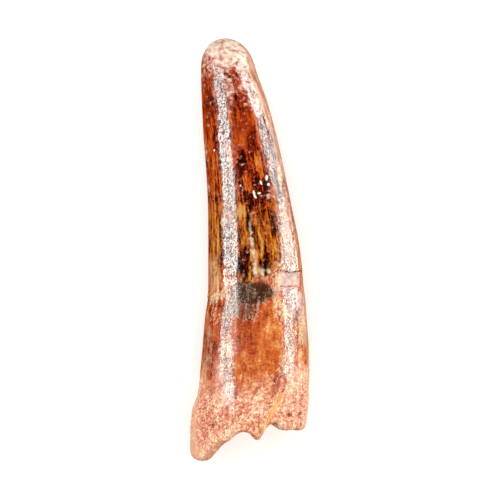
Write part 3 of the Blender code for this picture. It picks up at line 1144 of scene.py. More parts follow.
@dataclass(frozen=True)
class Crown:
    """The enamel crown: everything above the wavy line where the enamel ends."""

    form: ToothForm
    columns: tuple[int, int] = (256, 104)
    cap_rows: int = 40
    wall_rows: int = 210
    edge_rows: int = 3
    edge_round: float = 0.12
    closing_rows: int = 3
    ragged: float = 0.4
    wrinkle: float = 0.012
    tone: Stations = ((45.0, 0.5), (38.0, 0.47), (30.0, 0.45), (24.0, 0.47), (14.0, 0.42), (4.0, 0.5), (-8.0, 0.52))
    blots: tuple[Blot, ...] = (
        Blot(-9.8, 32.3, 0.4, 5.9, 0.04),
        Blot(-7.9, 30.5, 0.9, 2.1, -0.14),
        Blot(-9.0, 29.7, 1.2, 4.7, -0.1),
        Blot(-7.1, 23.6, 0.5, 2.0, -0.2),
        Blot(-7.8, 18.7, 0.7, 1.4, 0.05),
        Blot(-6.6, 13.8, 0.6, 1.0, -0.25),
        Blot(-7.6, 10.9, 0.7, 0.7, -0.25),
        Blot(-7.2, 4.3, 1.5, 5.6, 0.05),
        Blot(-6.3, -3.0, 0.5, 1.6, -0.3),
        Blot(-4.9, 36.3, 0.9, 1.5, -0.06),
        Blot(-3.0, 30.0, 0.5, 3.5, -0.16),
        Blot(-3.0, 32.3, 0.4, 0.5, -0.25),
        Blot(-1.6, 29.8, 0.6, 0.6, -0.25),
        Blot(-0.9, 31.3, 1.3, 3.9, 0.04),
        Blot(-1.6, 23.2, 1.0, 1.8, 0.12),
        Blot(0.1, 23.3, 0.7, 2.1, -0.16),
        Blot(1.7, 20.9, 0.9, 1.8, 0.06),
        Blot(1.2, 18.1, 1.2, 1.4, 0.06),
        Blot(-1.9, 18.2, 1.1, 2.8, -0.42),
        Blot(-1.5, 19.4, 0.4, 2.0, -0.3),
        Blot(-2.0, 13.7, 0.5, 2.8, -0.34),
        Blot(-0.6, 13.1, 0.6, 1.1, 0.1),
        Blot(1.2, 15.0, 1.2, 1.5, -0.14),
        Blot(3.6, 14.8, 1.1, 2.3, -0.34),
        Blot(-0.9, 11.2, 0.6, 1.9, -0.4),
        Blot(0.2, 10.1, 0.6, 2.1, -0.4),
        Blot(1.4, 10.3, 0.5, 1.1, -0.24),
        Blot(2.6, 9.3, 1.3, 2.8, -0.26),
        Blot(2.1, 10.9, 0.3, 1.2, 0.2),
        Blot(-1.9, 6.9, 1.3, 2.6, 0.1),
        Blot(-0.6, 5.5, 0.5, 2.0, -0.42),
        Blot(1.5, 4.0, 1.1, 4.1, -0.06),
        Blot(3.0, 1.8, 0.4, 4.5, 0.12),
        Blot(4.8, 5.4, 1.2, 3.0, -0.34),
        Blot(-1.0, 1.5, 0.9, 1.4, 0.14),
        Blot(-1.2, -3.0, 1.6, 2.9, -0.43),
        Blot(1.9, -2.7, 0.6, 2.6, 0.24),
        Blot(3.6, -2.6, 1.1, 2.4, -0.44),
        Blot(5.1, -1.1, 0.9, 3.1, -0.02),
        Blot(-3.0, 8.0, 0.4, 8.1, -0.14),
        Blot(0.2, 3.9, 0.4, 2.8, -0.14),
        Blot(2.4, 34.8, 1.4, 5.5, -0.14),
        Blot(-2.1, 8.1, 1.1, 1.8, 0.38),
        Blot(4.6, -1.1, 1.2, 2.2, 0.24),
        Blot(3.1, 9.5, 1.2, 1.3, 0.33),
        Blot(-7.4, 13.3, 1.3, 1.7, 0.18),
        Blot(-2.7, -1.6, 1.0, 1.7, -0.12),
        Blot(2.6, -3.1, 1.5, 1.5, -0.2),
        Blot(-2.7, -1.6, 1.0, 1.7, -0.1),
        Blot(-2.6, 13.7, 1.5, 1.7, -0.14),
        Blot(2.8, 13.1, 1.5, 1.9, -0.3),
        Blot(-0.9, -4.1, 1.3, 2.3, 0.12),
        Blot(-2.2, 7.6, 1.0, 1.7, 0.14),
        Blot(0.9, -1.6, 0.9, 1.5, 0.2),
        Blot(0.9, 27.8, 1.3, 1.5, 0.18),
        Blot(0.3, 0.2, 1.0, 0.7, -0.1),
        Blot(-6.0, 8.5, 0.9, 1.4, 0.12),
        Blot(-1.7, -5.2, 1.7, 2.1, -0.1),
        Blot(2.8, 11.6, 1.5, 1.9, -0.14),
        Blot(-0.4, 1.4, 1.3, 1.5, 0.14),
        Blot(1.3, -2.0, 1.3, 1.5, 0.14),
        Blot(-4.0, -1.8, 1.5, 1.7, -0.1),
        Blot(-2.9, 6.1, 1.2, 2.3, 0.15),
        Blot(-9.7, 32.4, 1.2, 1.5, 0.12),
        Blot(1.1, -0.1, 1.1, 1.3, -0.08),
        Blot(2.8, -2.9, 1.1, 1.5, -0.1),
    )
    calm: tuple[Blot, ...] = (
        Blot(-1.1, 24.8, 1.9, 4.5, 0.9),
        Blot(-9.0, 14.8, 1.0, 23.4, 0.5),
        Blot(-1.1, 17.8, 1.9, 3.0, 0.4),
        Blot(0.2, 31.0, 1.1, 3.4, 0.6),
        Blot(-1.5, 32.0, 1.5, 2.8, 0.4),
        Blot(0.4, 33.7, 2.1, 4.5, 0.2),
    )
    # Pale marks of the enamel; the two narrow ones on the left rim near the tip and lower down are painted highlights
    # on small beads
    pale_spots_and_painted_highlights: tuple[Blot, ...] = (
        Blot(-9.7, 38.6, 0.3, 1.1, 0.8),
        Blot(-9.4, 21.2, 0.2, 2.6, 0.5),
        Blot(-8.4, 31.2, 0.3, 0.3, 0.8),
        Blot(-5.9, 5.7, 0.3, 1.4, 0.7),
        Blot(6.4, 15.7, 0.5, 2.7, 0.75),
        Blot(1.3, -5.6, 0.4, 0.5, 0.7),
        Blot(-7.3, -5.1, 0.4, 3.5, 0.2),
        Blot(-5.2, -6.5, 0.7, 2.1, 0.5),
        Blot(-7.9, -5.5, 1.9, 4.4, 0.25),
        Blot(6.4, -3.9, 1.5, 1.5, 0.6),
        Blot(-9.3, 12.2, 0.7, 1.7, 0.3),
    )
    worn: tuple[Blot, ...] = (
        Blot(4.1, 22.4, 2.4, 3.4, 0.2),
        Blot(2.7, 25.6, 1.4, 0.4, 0.8),
        Blot(-4.1, 32.9, 1.2, 4.9, 0.6),
        Blot(-1.1, 35.9, 1.5, 3.2, 0.3),
        Blot(-6.2, 39.4, 1.9, 1.6, 0.6),
        Blot(-1.7, 39.4, 2.1, 1.8, 0.7),
        Blot(2.7, 31.7, 1.2, 3.7, 0.2),
        Blot(6.3, 14.4, 1.4, 4.7, 0.6),
        Blot(-5.1, 7.1, 2.1, 3.8, 0.4),
        Blot(-7.4, 33.5, 1.9, 2.1, 0.4),
    )
    # Painted sheen: peach streaks laid under the right highlight, standing for its lilac sheen
    painted_band_sheen: tuple[Blot, ...] = (
        Blot(8.5, 3.3, 2.1, 8.9, 0.6),
    )
    # Blots that add or take away frost. Most added ones, at the tip, beside the left highlight and along the right
    # highlight, are painted sheen: pale colour standing for the highlights' spread
    frost_and_painted_sheen: tuple[Blot, ...] = (
        Blot(8.6, 4.1, 1.8, 7.2, 0.3),
        Blot(9.4, -3.9, 0.9, 1.1, 0.5),
        Blot(-4.5, 32.7, 1.1, 4.7, 0.2),
        Blot(-3.7, 37.3, 1.6, 3.0, -0.15),
        Blot(2.8, 36.3, 1.1, 4.9, -0.22),
        Blot(-1.8, 39.7, 1.4, 1.9, 0.15),
        Blot(-0.6, 36.1, 1.5, 2.6, 0.25),
        Blot(0.6, 31.8, 1.3, 2.6, 0.25),
        Blot(-0.5, 31.9, 1.2, 1.8, 0.2),
        Blot(7.9, 10.5, 1.3, 2.8, 0.3),
        Blot(2.2, 29.9, 1.4, 2.6, 0.25),
        Blot(-7.7, 33.9, 1.5, 1.9, -0.15),
        Blot(-4.0, 39.5, 1.3, 1.5, 0.18),
        Blot(8.0, 12.7, 1.4, 2.3, 0.2),
        Blot(4.7, 11.9, 1.5, 2.0, 0.25),
        Blot(2.3, 29.9, 1.5, 2.6, 0.15),
        Blot(-7.7, 34.1, 1.5, 1.9, -0.2),
        Blot(6.2, 6.9, 1.5, 1.9, 0.25),
        Blot(-0.4, 34.0, 1.3, 1.6, 0.12),
        Blot(-7.7, 33.7, 1.7, 2.3, -0.18),
        Blot(-9.3, 12.0, 1.2, 1.9, 0.3),
    )
    pale_vein: Stations = ((0.2, 7.5), (0.0, 4.6), (0.3, 2.4), (0.45, 0.5), (0.9, -3.3), (1.25, -5.6))
    hairline: Stations = ((4.7, -5.2), (6.4, -3.4), (7.2, -2.6))
    edge_front: tuple[float, float] = (1.0, 2.1)  # angles between which the enamel's edge is plain to see
    # Width of the peach strip along the right rim: a painted reflection of the pale table at the grazing edge
    rim_reflection_width: Stations = (
        (45.0, 0.3),
        (42.5, 0.6),
        (40.0, 1.5),
        (36.0, 1.7),
        (30.0, 1.7),
        (26.0, 1.2),
        (20.0, 0.85),
        (10.0, 0.5),
        (-8.0, 0.45),
    )

    def edge_y(self, angle: Array) -> Array:
        """y of the enamel's broken edge: the wavy line with two sizes of notches."""
        round_it = as_grown(angle, np.zeros_like(angle))
        notches = value_noise(round_it, 1.5, 11) + 0.3 * value_noise(round_it, 0.6, 12)
        return self.form.enamel_line(angle) + self.ragged * notches

    def surface(self) -> tuple[RingSurface, Array, Array]:
        """The outer skin from the tip to the enamel's edge, then in under it to the axis.

        Returns:
            The surface, and y and angle for each of its points.
        """
        form = self.form
        angle = ring_angles(*self.columns)
        cap_start = form.tip_y - form.tip_cap
        turn = np.linspace(0.0, math.pi / 2.0, self.cap_rows + 1)[1:, None]
        cap_y = cap_start + form.tip_cap * np.cos(turn) + 0.0 * angle
        share = np.linspace(0.0, 1.0, self.wall_rows + 1)[1:, None]
        wall_y = cap_start + (self.edge_y(angle) - cap_start) * share
        edge_turn = np.linspace(0.0, math.pi / 2.0, self.edge_rows + 1)[1:, None]
        edge_y = self.edge_y(angle) - self.edge_round * np.sin(edge_turn)
        closing_y = np.repeat(edge_y[-1:], self.closing_rows, axis=0)
        y = np.concatenate([cap_y, wall_y, edge_y, closing_y])
        angles = np.broadcast_to(angle, y.shape)
        relief = form.keel * form.keels(centred_angle(angles))
        relief = (relief + form.flute * np.cos(form.flutes * angles)) * form.below_tip(y)
        feathered = smooth_step(1.9, 2.3, angles) * (1.0 - smooth_step(0.0, 2.5, y - self.edge_y(angle)))
        relief -= (form.enamel_step - 0.015) * feathered
        relief[self.cap_rows + self.wall_rows :] -= self.edge_round * (
            1.0 - np.cos(np.concatenate([edge_turn, np.full((self.closing_rows, 1), math.pi / 2.0)]))
        )
        points = form.swollen(y, angles, relief)
        centre_x, centre_z, _, _ = form.section(y, angles)
        inward = np.zeros(y.shape)
        inward[-self.closing_rows :] = np.linspace(0.0, 1.0, self.closing_rows + 1)[:-1, None] + 0.15
        points[..., 0] += (centre_x - points[..., 0]) * inward
        points[..., 2] += (centre_z - points[..., 2]) * inward
        tip = form.section(np.array(form.tip_y), np.array(0.0))
        first = np.array([tip[0], form.tip_y, tip[1]])
        return RingSurface(points, first, points[-1].mean(axis=0)), y, angles

    def fine_height(self, surface: RingSurface, y: Array, angle: Array, frost: Array) -> Array:
        """How far the wrinkles, the worn grain of the tip and the pale vein stand out.

        The wrinkles are noises drawn out along the tooth, 0.4, 0.8 and 1.3 mm apart, and the tip's grain is
        two noises of 0.9 and 1.8 mm times the frost.
        """
        grown = as_grown(angle, y)
        height = self.wrinkle * value_noise(grown, (0.4, 0.4, 1.1), 21)
        height += 0.014 * value_noise(grown, (1.3, 1.3, 9.0), 22)
        height += 0.012 * value_noise(grown, (0.8, 0.8, 2.2), 23)
        place = surface.points
        height *= 0.4 + 0.6 * self.form.on_facets(place[..., 0], y)
        rough = frost * (1.0 - 0.75 * self.form.on_facets(place[..., 0], y))
        height += rough * (0.045 * value_noise(place, 0.9, 24) + 0.09 * value_noise(place, 1.8, 25))
        shown = smooth_step(0.1, 0.4, np.sin(angle))
        x = place[..., 0]
        height += 0.06 * shown * near_line(x, y, self.pale_vein, 0.45)
        height -= 0.06 * shown * near_line(x, y, self.hairline, 0.25)
        height[self.cap_rows + self.wall_rows :] = 0.0
        return height

    def build(self, finish: FossilEnamel) -> bpy.types.Object:
        """Builds and dresses the crown.

        Args:
            finish: the enamel.

        Returns:
            The piece.
        """
        surface, y, angle = self.surface()
        place = surface.points
        x = place[..., 0]
        leaning = y - 2.0 * smooth_step(-7.5, -9.5, x)
        frost = 0.35 * smooth_step(37.5, 41.0, leaning + 1.0 * value_noise(place, 2.4, 31))
        frost += 0.32 * smooth_step(29.0, 38.0, leaning)
        surface.raise_by(self.fine_height(surface, y, angle, frost))
        shown = smooth_step(0.0, 0.3, np.sin(angle))
        warp_x = x + 0.3 * value_noise(place, 0.8, 33)
        warp_y = y + 0.8 * value_noise(place, 1.3, 34)
        depth = through(self.tone, 1, y) + shown * blots_at(warp_x, warp_y, self.blots)
        left_side = smooth_step(0.6, 0.9, -np.cos(angle)) * shown
        depth += left_side * (0.05 + 0.02 * smooth_step(8.0, 24.0, y))
        pale = shown * blots_at(warp_x, warp_y, self.pale_spots_and_painted_highlights)
        widening = 0.4 + 0.35 * smooth_step(3.5, 0.5, y)
        vein = near_line(x + 0.25 * value_noise(place, 0.7, 35), y, self.pale_vein, widening)
        pale += shown * vein * (0.6 + 0.7 * smooth_step(4.0, 1.0, y)) * (1.0 + 0.4 * value_noise(place, 0.8, 40))
        pale = np.maximum(pale, shown * 0.8 * near_line(x, y, self.hairline, 0.3))
        above_edge = y - self.edge_y(angle) + 0.6 * value_noise(place, 1.0, 37)
        front = window(self.edge_front, 0.25, angle)
        edge = 1.3 * front * (1.0 - smooth_step(0.2, 2.4, above_edge)) * smooth_step(-2.6, -0.8, x)
        edge += 0.4 * (1.0 - front) * (1.0 - smooth_step(-0.2, 3.5, above_edge))
        pale = np.maximum(pale, edge * smooth_step(-0.1, 0.5, value_noise(as_grown(angle, y), (0.6, 0.6, 1.1), 36)))
        thin = self.form.turned_away(angle) * (1.0 - smooth_step(0.5, 8.0, above_edge))
        right = through(self.form.outline, 2, y)
        rim_reflection_width = through(self.rim_reflection_width, 1, y)
        left = through(self.form.outline, 1, y)
        rim = (left + right) / 2.0 + (right - left) / 2.0 * self.form.cap_factor(y)
        # Peach along the right rim is a painted reflection of the pale table; the blots add painted sheen over the
        # right highlight
        peach = 1.0 - smooth_step(-0.35, 0.25, rim - x - rim_reflection_width + 0.35 * value_noise(as_grown(angle, y), (0.5, 0.5, 2.5), 38))
        peach = 0.9 * np.clip(peach, 0.0, 1.0) * smooth_step(-0.4, 0.1, np.sin(angle) + 0.35 * value_noise(place, 2.5, 39))
        peach = np.maximum(peach, shown * blots_at(warp_x, warp_y, self.painted_band_sheen))
        calm = np.clip(shown * blots_at(x, y, self.calm), 0.0, 1.0)
        facets = shown * self.form.on_facets(x, y)
        near_facets = shown * np.minimum(self.form.on_facets(x, y, 1.1), 1.0)
        marks = {
            Mark.GROWN: as_grown(angle, y),
            # Painted shade: the amber is darker under the two highlights, where the side lights fall strongest
            Mark.DEPTH: depth - 0.2 * facets * self.form.below_tip(y),
            Mark.CALM: calm,
            Mark.PITTED: (0.22 + 0.78 * near_facets + 0.7 * np.clip(near_facets - facets, 0.0, 1.0))
            * (1.0 - 0.25 * peach) * (1.0 - 0.8 * calm * (1.0 - facets)),
            # Frost on the worn tip, thinner on the highlights, plus blots of painted sheen near the highlights
            Mark.FROST_AND_SHEEN: frost * (1.0 - 0.35 * facets) + shown * blots_at(warp_x, warp_y, self.frost_and_painted_sheen),
            Mark.PALE: np.clip(pale, 0.0, 1.0),
            Mark.PEACH_AND_RIM_REFLECTION: peach,
            Mark.THIN: thin,
            Mark.WORN: np.clip(0.5 * peach + 0.3 * frost + shown * blots_at(warp_x, warp_y, self.worn), 0.0, 1.0),
        }
        obj = surface.build("crown", marks)
        settle(obj, finish.material())
        return obj


@dataclass(frozen=True)
class Root:
    """The root: from under the enamel to the ragged break, with the sandstone in its cavity."""

    form: ToothForm
    columns: tuple[int, int] = (256, 104)
    top_y: float = -2.0
    cover_rows: int = 5
    wall_rows: int = 196
    rim_rows: int = 8
    face_rows: int = 40
    under_enamel: float = 0.35
    lump: float = 0.08
    soot: tuple[Blot, ...] = (
        Blot(0.6, -9.0, 5.3, 2.1, 1.15),
        Blot(2.8, -9.4, 2.8, 2.0, 0.45),
        Blot(-1.1, -12.0, 3.4, 3.2, 0.75),
        Blot(-1.5, -7.1, 2.3, 1.5, 0.7),
        Blot(-4.7, -12.9, 2.1, 3.0, 0.5),
        Blot(-8.9, -21.1, 1.5, 7.8, 0.5),
        Blot(2.8, -6.6, 2.8, 1.6, 0.45),
        Blot(11.7, -18.8, 0.9, 2.6, 0.5),
        Blot(9.3, -20.2, 1.2, 1.4, 0.45),
        Blot(1.3, -8.8, 1.3, 1.5, 0.3),
        Blot(-1.7, -6.2, 1.7, 2.3, 0.45),
        Blot(6.2, -21.8, 1.5, 5.1, 0.2),
    )
    tone: tuple[Blot, ...] = (
        Blot(2.1, -6.5, 3.4, 1.7, 0.2),
        Blot(-0.6, -16.9, 1.5, 2.8, -0.1),
        Blot(3.4, -16.1, 2.1, 3.6, 0.04),
        Blot(1.3, -23.8, 2.6, 3.5, -0.04),
        Blot(-2.4, -17.1, 0.5, 3.4, -0.15),
        Blot(8.6, -19.0, 2.0, 10.4, -0.08),
        Blot(5.1, -33.7, 2.6, 4.3, 0.08),
        Blot(-8.4, -20.7, 1.6, 8.7, -0.1),
        Blot(0.2, -27.8, 2.8, 3.0, 0.07),
        Blot(-2.1, -27.6, 1.3, 1.5, 0.14),
        Blot(4.5, -15.9, 1.5, 1.9, 0.16),
        Blot(-4.9, -13.3, 2.3, 2.6, -0.12),
        Blot(-2.3, -37.8, 1.7, 1.7, 0.22),
        Blot(-3.8, -39.6, 1.5, 1.6, 0.16),
        Blot(6.1, -22.4, 1.4, 3.6, 0.12),
        Blot(9.7, -14.9, 1.0, 1.6, -0.05),
        Blot(8.8, -33.7, 2.4, 2.6, -0.06),
        Blot(11.1, -18.2, 1.3, 7.4, 0.15),
        Blot(-8.9, -31.0, 2.1, 2.3, -0.1),
        Blot(-7.1, -35.0, 2.9, 3.4, -0.1),
        Blot(1.3, -32.9, 3.4, 3.4, 0.04),
        Blot(6.1, -10.0, 1.2, 2.4, 0.2),
        Blot(4.0, -15.2, 1.5, 6.2, 0.1),
        Blot(6.5, -37.8, 1.4, 1.7, 0.18),
        Blot(4.3, -25.9, 1.5, 1.7, 0.16),
        Blot(-2.2, -25.6, 1.6, 1.9, 0.14),
        Blot(0.6, -30.3, 1.7, 1.5, -0.1),
        Blot(-7.6, -25.9, 1.4, 2.3, -0.1),
        Blot(6.0, -16.7, 1.5, 1.5, 0.18),
        Blot(6.5, -37.8, 1.4, 1.7, 0.14),
        Blot(9.4, -16.9, 1.3, 1.5, 0.1),
        Blot(-10.9, -32.4, 1.5, 2.1, -0.08),
        Blot(-0.6, -35.4, 1.5, 1.7, 0.16),
        Blot(-8.4, -19.7, 1.6, 8.9, 0.03),
        Blot(-4.3, -11.8, 1.7, 1.9, -0.1),
        Blot(11.3, -27.3, 1.5, 2.1, 0.12),
        Blot(5.5, -31.4, 1.3, 1.5, 0.1),
        Blot(9.4, -16.9, 1.3, 1.5, 0.12),
        Blot(-4.3, -39.0, 1.7, 1.5, 0.12),
        Blot(2.4, -29.0, 1.4, 2.1, -0.12),
        Blot(6.0, -22.7, 1.3, 3.4, -0.05),
    )
    # Cream streaks of the stone, and pale colour laid under the two highlights so that they read cream: partly painted
    # highlight
    pale_spots_and_painted_highlights: tuple[Blot, ...] = (
        Blot(11.1, -17.0, 1.5, 5.6, 0.7),
        Blot(11.5, -17.9, 1.1, 2.4, 0.3),
        Blot(11.0, -9.6, 1.2, 2.4, 0.4),
        Blot(-7.7, -8.0, 2.1, 4.0, 0.5),
        Blot(-5.1, -8.4, 0.9, 3.6, 0.4),
        Blot(-10.2, -43.5, 0.9, 0.9, 0.6),
        Blot(-5.0, -25.9, 2.2, 10.4, 0.45),
        Blot(6.4, -25.7, 1.5, 1.8, 0.6),
        Blot(6.4, -13.2, 1.5, 2.4, 0.6),
        Blot(6.4, -5.5, 1.5, 3.1, 0.5),
        Blot(8.5, -18.6, 2.1, 10.9, 0.45),
        Blot(-0.2, -12.9, 2.3, 2.1, 0.55),
        Blot(4.0, -16.1, 1.5, 5.3, 0.1),
        Blot(6.1, -10.0, 1.2, 2.4, 0.5),
        Blot(4.3, -6.3, 2.6, 2.3, 0.45),
        Blot(11.3, -25.4, 1.3, 2.1, 0.4),
        Blot(-5.7, -8.8, 1.3, 1.7, 0.3),
        Blot(-7.9, -12.9, 1.9, 4.7, 0.38),
        Blot(-2.1, -6.7, 1.3, 1.1, 0.3),
    )
    pits: tuple[tuple[float, float, float, float], ...] = (
        (-8.0, -37.3, 0.5, 0.5),
        (-7.2, -36.8, 0.4, 0.2),
        (8.3, -35.0, 0.6, 0.5),
        (10.6, -34.8, 0.5, 0.35),
        (11.0, -31.0, 0.4, 0.3),
        (6.7, -34.6, 0.35, 0.45),
        (5.3, -37.2, 0.7, 0.5),
        (10.9, -37.3, 0.4, 0.3),
        (-9.7, -40.2, 0.3, 0.2),
        (-2.8, -31.4, 0.3, 0.2),
    )
    # Painted sheen: pale blots on the outer edge of the right highlight and the rim beside it
    frost_and_painted_sheen: tuple[Blot, ...] = (
        Blot(10.2, -11.0, 2.3, 3.6, 0.6),
        Blot(8.1, -9.0, 2.1, 1.7, 0.35),
    )
    bare: tuple[Blot, ...] = (Blot(-4.5, -31.0, 1.7, 5.5, 1.0),)
    # The crack's two dark arms, the groove that goes on from the left one, and the vein between them
    left_arm: Stations = ((6.9, -26.6), (6.1, -27.5), (5.75, -29.4), (5.55, -30.6))
    right_arm: Stations = ((6.9, -26.6), (7.55, -27.9), (7.25, -28.7), (7.15, -29.7), (6.7, -30.1))
    groove: Stations = ((5.3, -30.4), (3.9, -32.2), (4.1, -33.6), (4.2, -34.6))
    right_groove: Stations = ((7.3, -31.5), (6.6, -33.5), (4.8, -35.8))
    vein: Stations = ((6.45, -30.9), (5.9, -32.3), (4.1, -35.4), (2.4, -38.1))
    vein_branch: Stations = ((5.4, -31.6), (5.9, -32.3))
    # A painted highlight: a thin pale line beside the left highlight on the root, laid on as chalk colour
    painted_highlight_line: Stations = ((-3.2, -6.5), (-3.0, -11.0), (-2.6, -14.4))

    def surface(self) -> tuple[RingSurface, Array, Array, Array]:
        """The wall from under the enamel to the rim, round the rim and across the break.

        The last stretch of the wall is slid along Y to meet the break line. Past the rim each point goes
        straight in towards the axis, while y sinks to the cavity's floor.

        Returns:
            The surface, then y, angle and the share of the way across the break for each of its points.
        """
        form = self.form
        angle = ring_angles(*self.columns)
        wall_end = form.root_end_y + form.rim_round
        cover = np.linspace(0.0, 1.0, self.cover_rows + 1)[1:-1]
        wall = np.linspace(self.top_y, wall_end, self.wall_rows + 1)
        rim = np.linspace(0.0, math.pi / 2.0, self.rim_rows + 1)[1:]
        face = np.linspace(0.0, 1.0, self.face_rows + 1)[1:-1]
        nominal = np.concatenate([np.full(len(cover), self.top_y), wall, np.full(len(rim) + len(face), wall_end)])
        scale = np.concatenate([cover, np.ones(len(wall) + len(rim) + len(face))])
        turn = np.concatenate([np.zeros(len(cover) + len(wall)), rim, np.full(len(face), math.pi / 2.0)])
        way_in = np.concatenate([np.zeros(len(cover) + len(wall) + len(rim)), face])
        nominal, scale, turn, way_in = (v[:, None] + 0.0 * angle for v in (nominal, scale, turn, way_in))
        angles = np.broadcast_to(angle, nominal.shape)
        stretch = (form.break_line(angles) + form.rim_round - form.rim_start_y) / (wall_end - form.rim_start_y)
        y = np.where(nominal < form.rim_start_y, form.rim_start_y + (nominal - form.rim_start_y) * stretch, nominal)
        plain = form.swollen(y, angles, 0.0 * angles)
        x, z = plain[..., 0], plain[..., 2]
        relief = form.keel * form.keel_on_root * form.keels(centred_angle(angles))
        relief = relief - form.enamel_step * smooth_step(-form.enamel_fade, 0.0, y - form.enamel_end_y)
        relief = relief - self.under_enamel * smooth_step(0.2, 1.4, y - form.enamel_line(angles))
        relief = relief + self.lump * form.lumps(x, y, z) * smooth_step(*form.lump_start, form.enamel_end_y - y)
        shown = form.on_top(y, z)
        relief = relief - shown * (form.chip_depth * form.chip(x, y) + 0.55 * form.crack_depth(x, y))
        points = form.swollen(y, angles, relief)
        centre_x, centre_z, _, _ = form.section(np.full(angles.shape, form.break_y), angles)
        top_x, top_z, _, _ = form.section(np.full(angles.shape, self.top_y), angles)
        inward_x, inward_z = centre_x - points[..., 0], centre_z - points[..., 2]
        reach = np.hypot(inward_x, inward_z)
        rim_share = form.rim_round / np.maximum(reach, form.rim_round) * (1.0 - np.cos(turn))
        share = rim_share + (1.0 - rim_share) * way_in
        inner_x, inner_z = points[..., 0] + inward_x * share, points[..., 2] + inward_z * share
        rim_y = y - form.rim_round * np.sin(turn)
        slope = form.wall * form.wall_slope / 2.0
        in_cavity = smooth_step(0.0, 1.0 / 6.0, way_in) * smooth_step(
            form.wall - slope, form.wall + slope, share * reach
        )
        floor_y = form.cavity_floor_y + form.cavity_rough * form.lumps(inner_x, inner_z, inner_x - inner_z)
        points = np.stack([inner_x, rim_y + (floor_y - rim_y) * in_cavity, inner_z], axis=-1)
        points[..., 0] = np.where(scale < 1.0, top_x + (points[..., 0] - top_x) * scale, points[..., 0])
        points[..., 2] = np.where(scale < 1.0, top_z + (points[..., 2] - top_z) * scale, points[..., 2])
        first = np.array([top_x[0, 0], self.top_y, top_z[0, 0]])
        return RingSurface(points, first, points[-1].mean(axis=0)), points[..., 1].copy(), angles, way_in

    def sand(self, place: Array, way_in: Array) -> Array:
        """How sandy the surface is: none near the crown, all of it near the break and across it."""
        wander = 3.0 * value_noise(place, 3.0, 41) + 2.0 * value_noise(place, 1.0, 42)
        slant = 0.3 * np.abs(place[..., 0] - 1.0) + 4.0 * smooth_step(6.5, 10.5, place[..., 0]) - 3.5 * blots_at(place[..., 0], place[..., 1], self.bare)
        return np.maximum(smooth_step(26.5, 34.5, wander + slant - place[..., 1]), smooth_step(0.0, 0.05, way_in))

    def build(self, finish: FossilRoot) -> tuple[RingSurface, Array]:
        """Builds and dresses the root.

        Args:
            finish: the mineralised root.

        Returns:
            Its surface, and how sandy it is at each point that is in the open.
        """
        form = self.form
        surface, y, angle, way_in = self.surface()
        place = surface.points.copy()
        x = place[..., 0]
        outside = 1.0 - smooth_step(0.0, 0.1, way_in)
        shown = smooth_step(0.0, 0.35, np.sin(angle)) * outside
        sand = self.sand(place, way_in)
        facets = shown * form.on_facets(x, y)
        grown = as_grown(angle, y)
        height = 0.006 * value_noise(grown, (0.5, 0.5, 1.0), 51) + 0.006 * value_noise(grown, (1.4, 1.4, 6.0), 52)
        height += (0.1 + 0.9 * sand) * 0.04 * value_noise(place, 0.7, 53)
        height += sand * (0.06 * (pebbles(place, 0.5, 61) - 0.6) + 0.1 * value_noise(place, 2.0, 54))
        pits = np.zeros(x.shape)
        for pit_x, pit_y, radius, deep in self.pits:
            pits += deep * (1.0 - smooth_step(0.2, 1.0, np.hypot(x - pit_x, y - pit_y) / radius))
        wobble_x = x + 0.2 * value_noise(place, 0.6, 57)
        arms = np.maximum(near_line(wobble_x, y, self.left_arm, 0.36), near_line(wobble_x, y, self.right_arm, 0.32))
        grooves = np.maximum(near_line(wobble_x, y, self.groove, 0.4), near_line(wobble_x, y, self.right_groove, 0.4))
        vein = np.maximum(near_line(wobble_x, y, self.vein, 0.9), near_line(wobble_x, y, self.vein_branch, 0.6))
        height += shown * (0.3 * vein - pits - 0.3 * arms - 0.22 * grooves)
        surface.raise_by(height)
        warp_x = x + 0.5 * value_noise(place, 1.1, 55) + 0.3 * value_noise(place, 0.5, 58)
        warp_y = y + 0.6 * value_noise(place, 1.3, 56) + 0.4 * value_noise(place, 0.5, 59)
        depth = 0.5 + shown * blots_at(warp_x, warp_y, self.tone) + 0.045 * sand
        lobe = (1.0 - smooth_step(-11.5, -10.9, x + 0.02 * (y + 38.0))) * (1.0 - smooth_step(-33.0, -29.5, y))
        lobe = np.maximum(lobe, 0.75 * smooth_step(-40.0, -43.0, y + 0.6 * value_noise(place, 1.5, 60)))
        right = through(form.outline, 2, y)
        # A painted reflection: a thin peach strip along the right rim, where the pale table would be reflected at the
        # grazing edge
        painted_rim_reflection = (1.0 - smooth_step(0.3, 0.9, right - x)) * outside
        painted_rim_reflection *= smooth_step(-0.25, 0.1, np.sin(angle) + 0.3 * value_noise(place, 1.6, 65))
        soot = np.clip(blots_at(warp_x, warp_y, self.soot), 0.0, 1.0) * shown
        # Painted shade: the crack's arms, its grooves and the small pits are darkened by colour
        dark = np.maximum(arms, 0.35 * grooves) * shown
        dark = np.maximum(dark, np.clip(pits / 0.3, 0.0, 1.0) * shown)
        chip = form.chip(x + 0.2 * value_noise(place, 0.5, 62), y + 0.2 * value_noise(place, 0.5, 63)) * shown
        thin = form.turned_away(angle) * outside * smooth_step(-19.0, -9.0, y)
        frost = smooth_step(0.5, 1.0, chip) * np.clip(0.45 + 0.3 * value_noise(place, 0.6, 64), 0.0, 1.0)
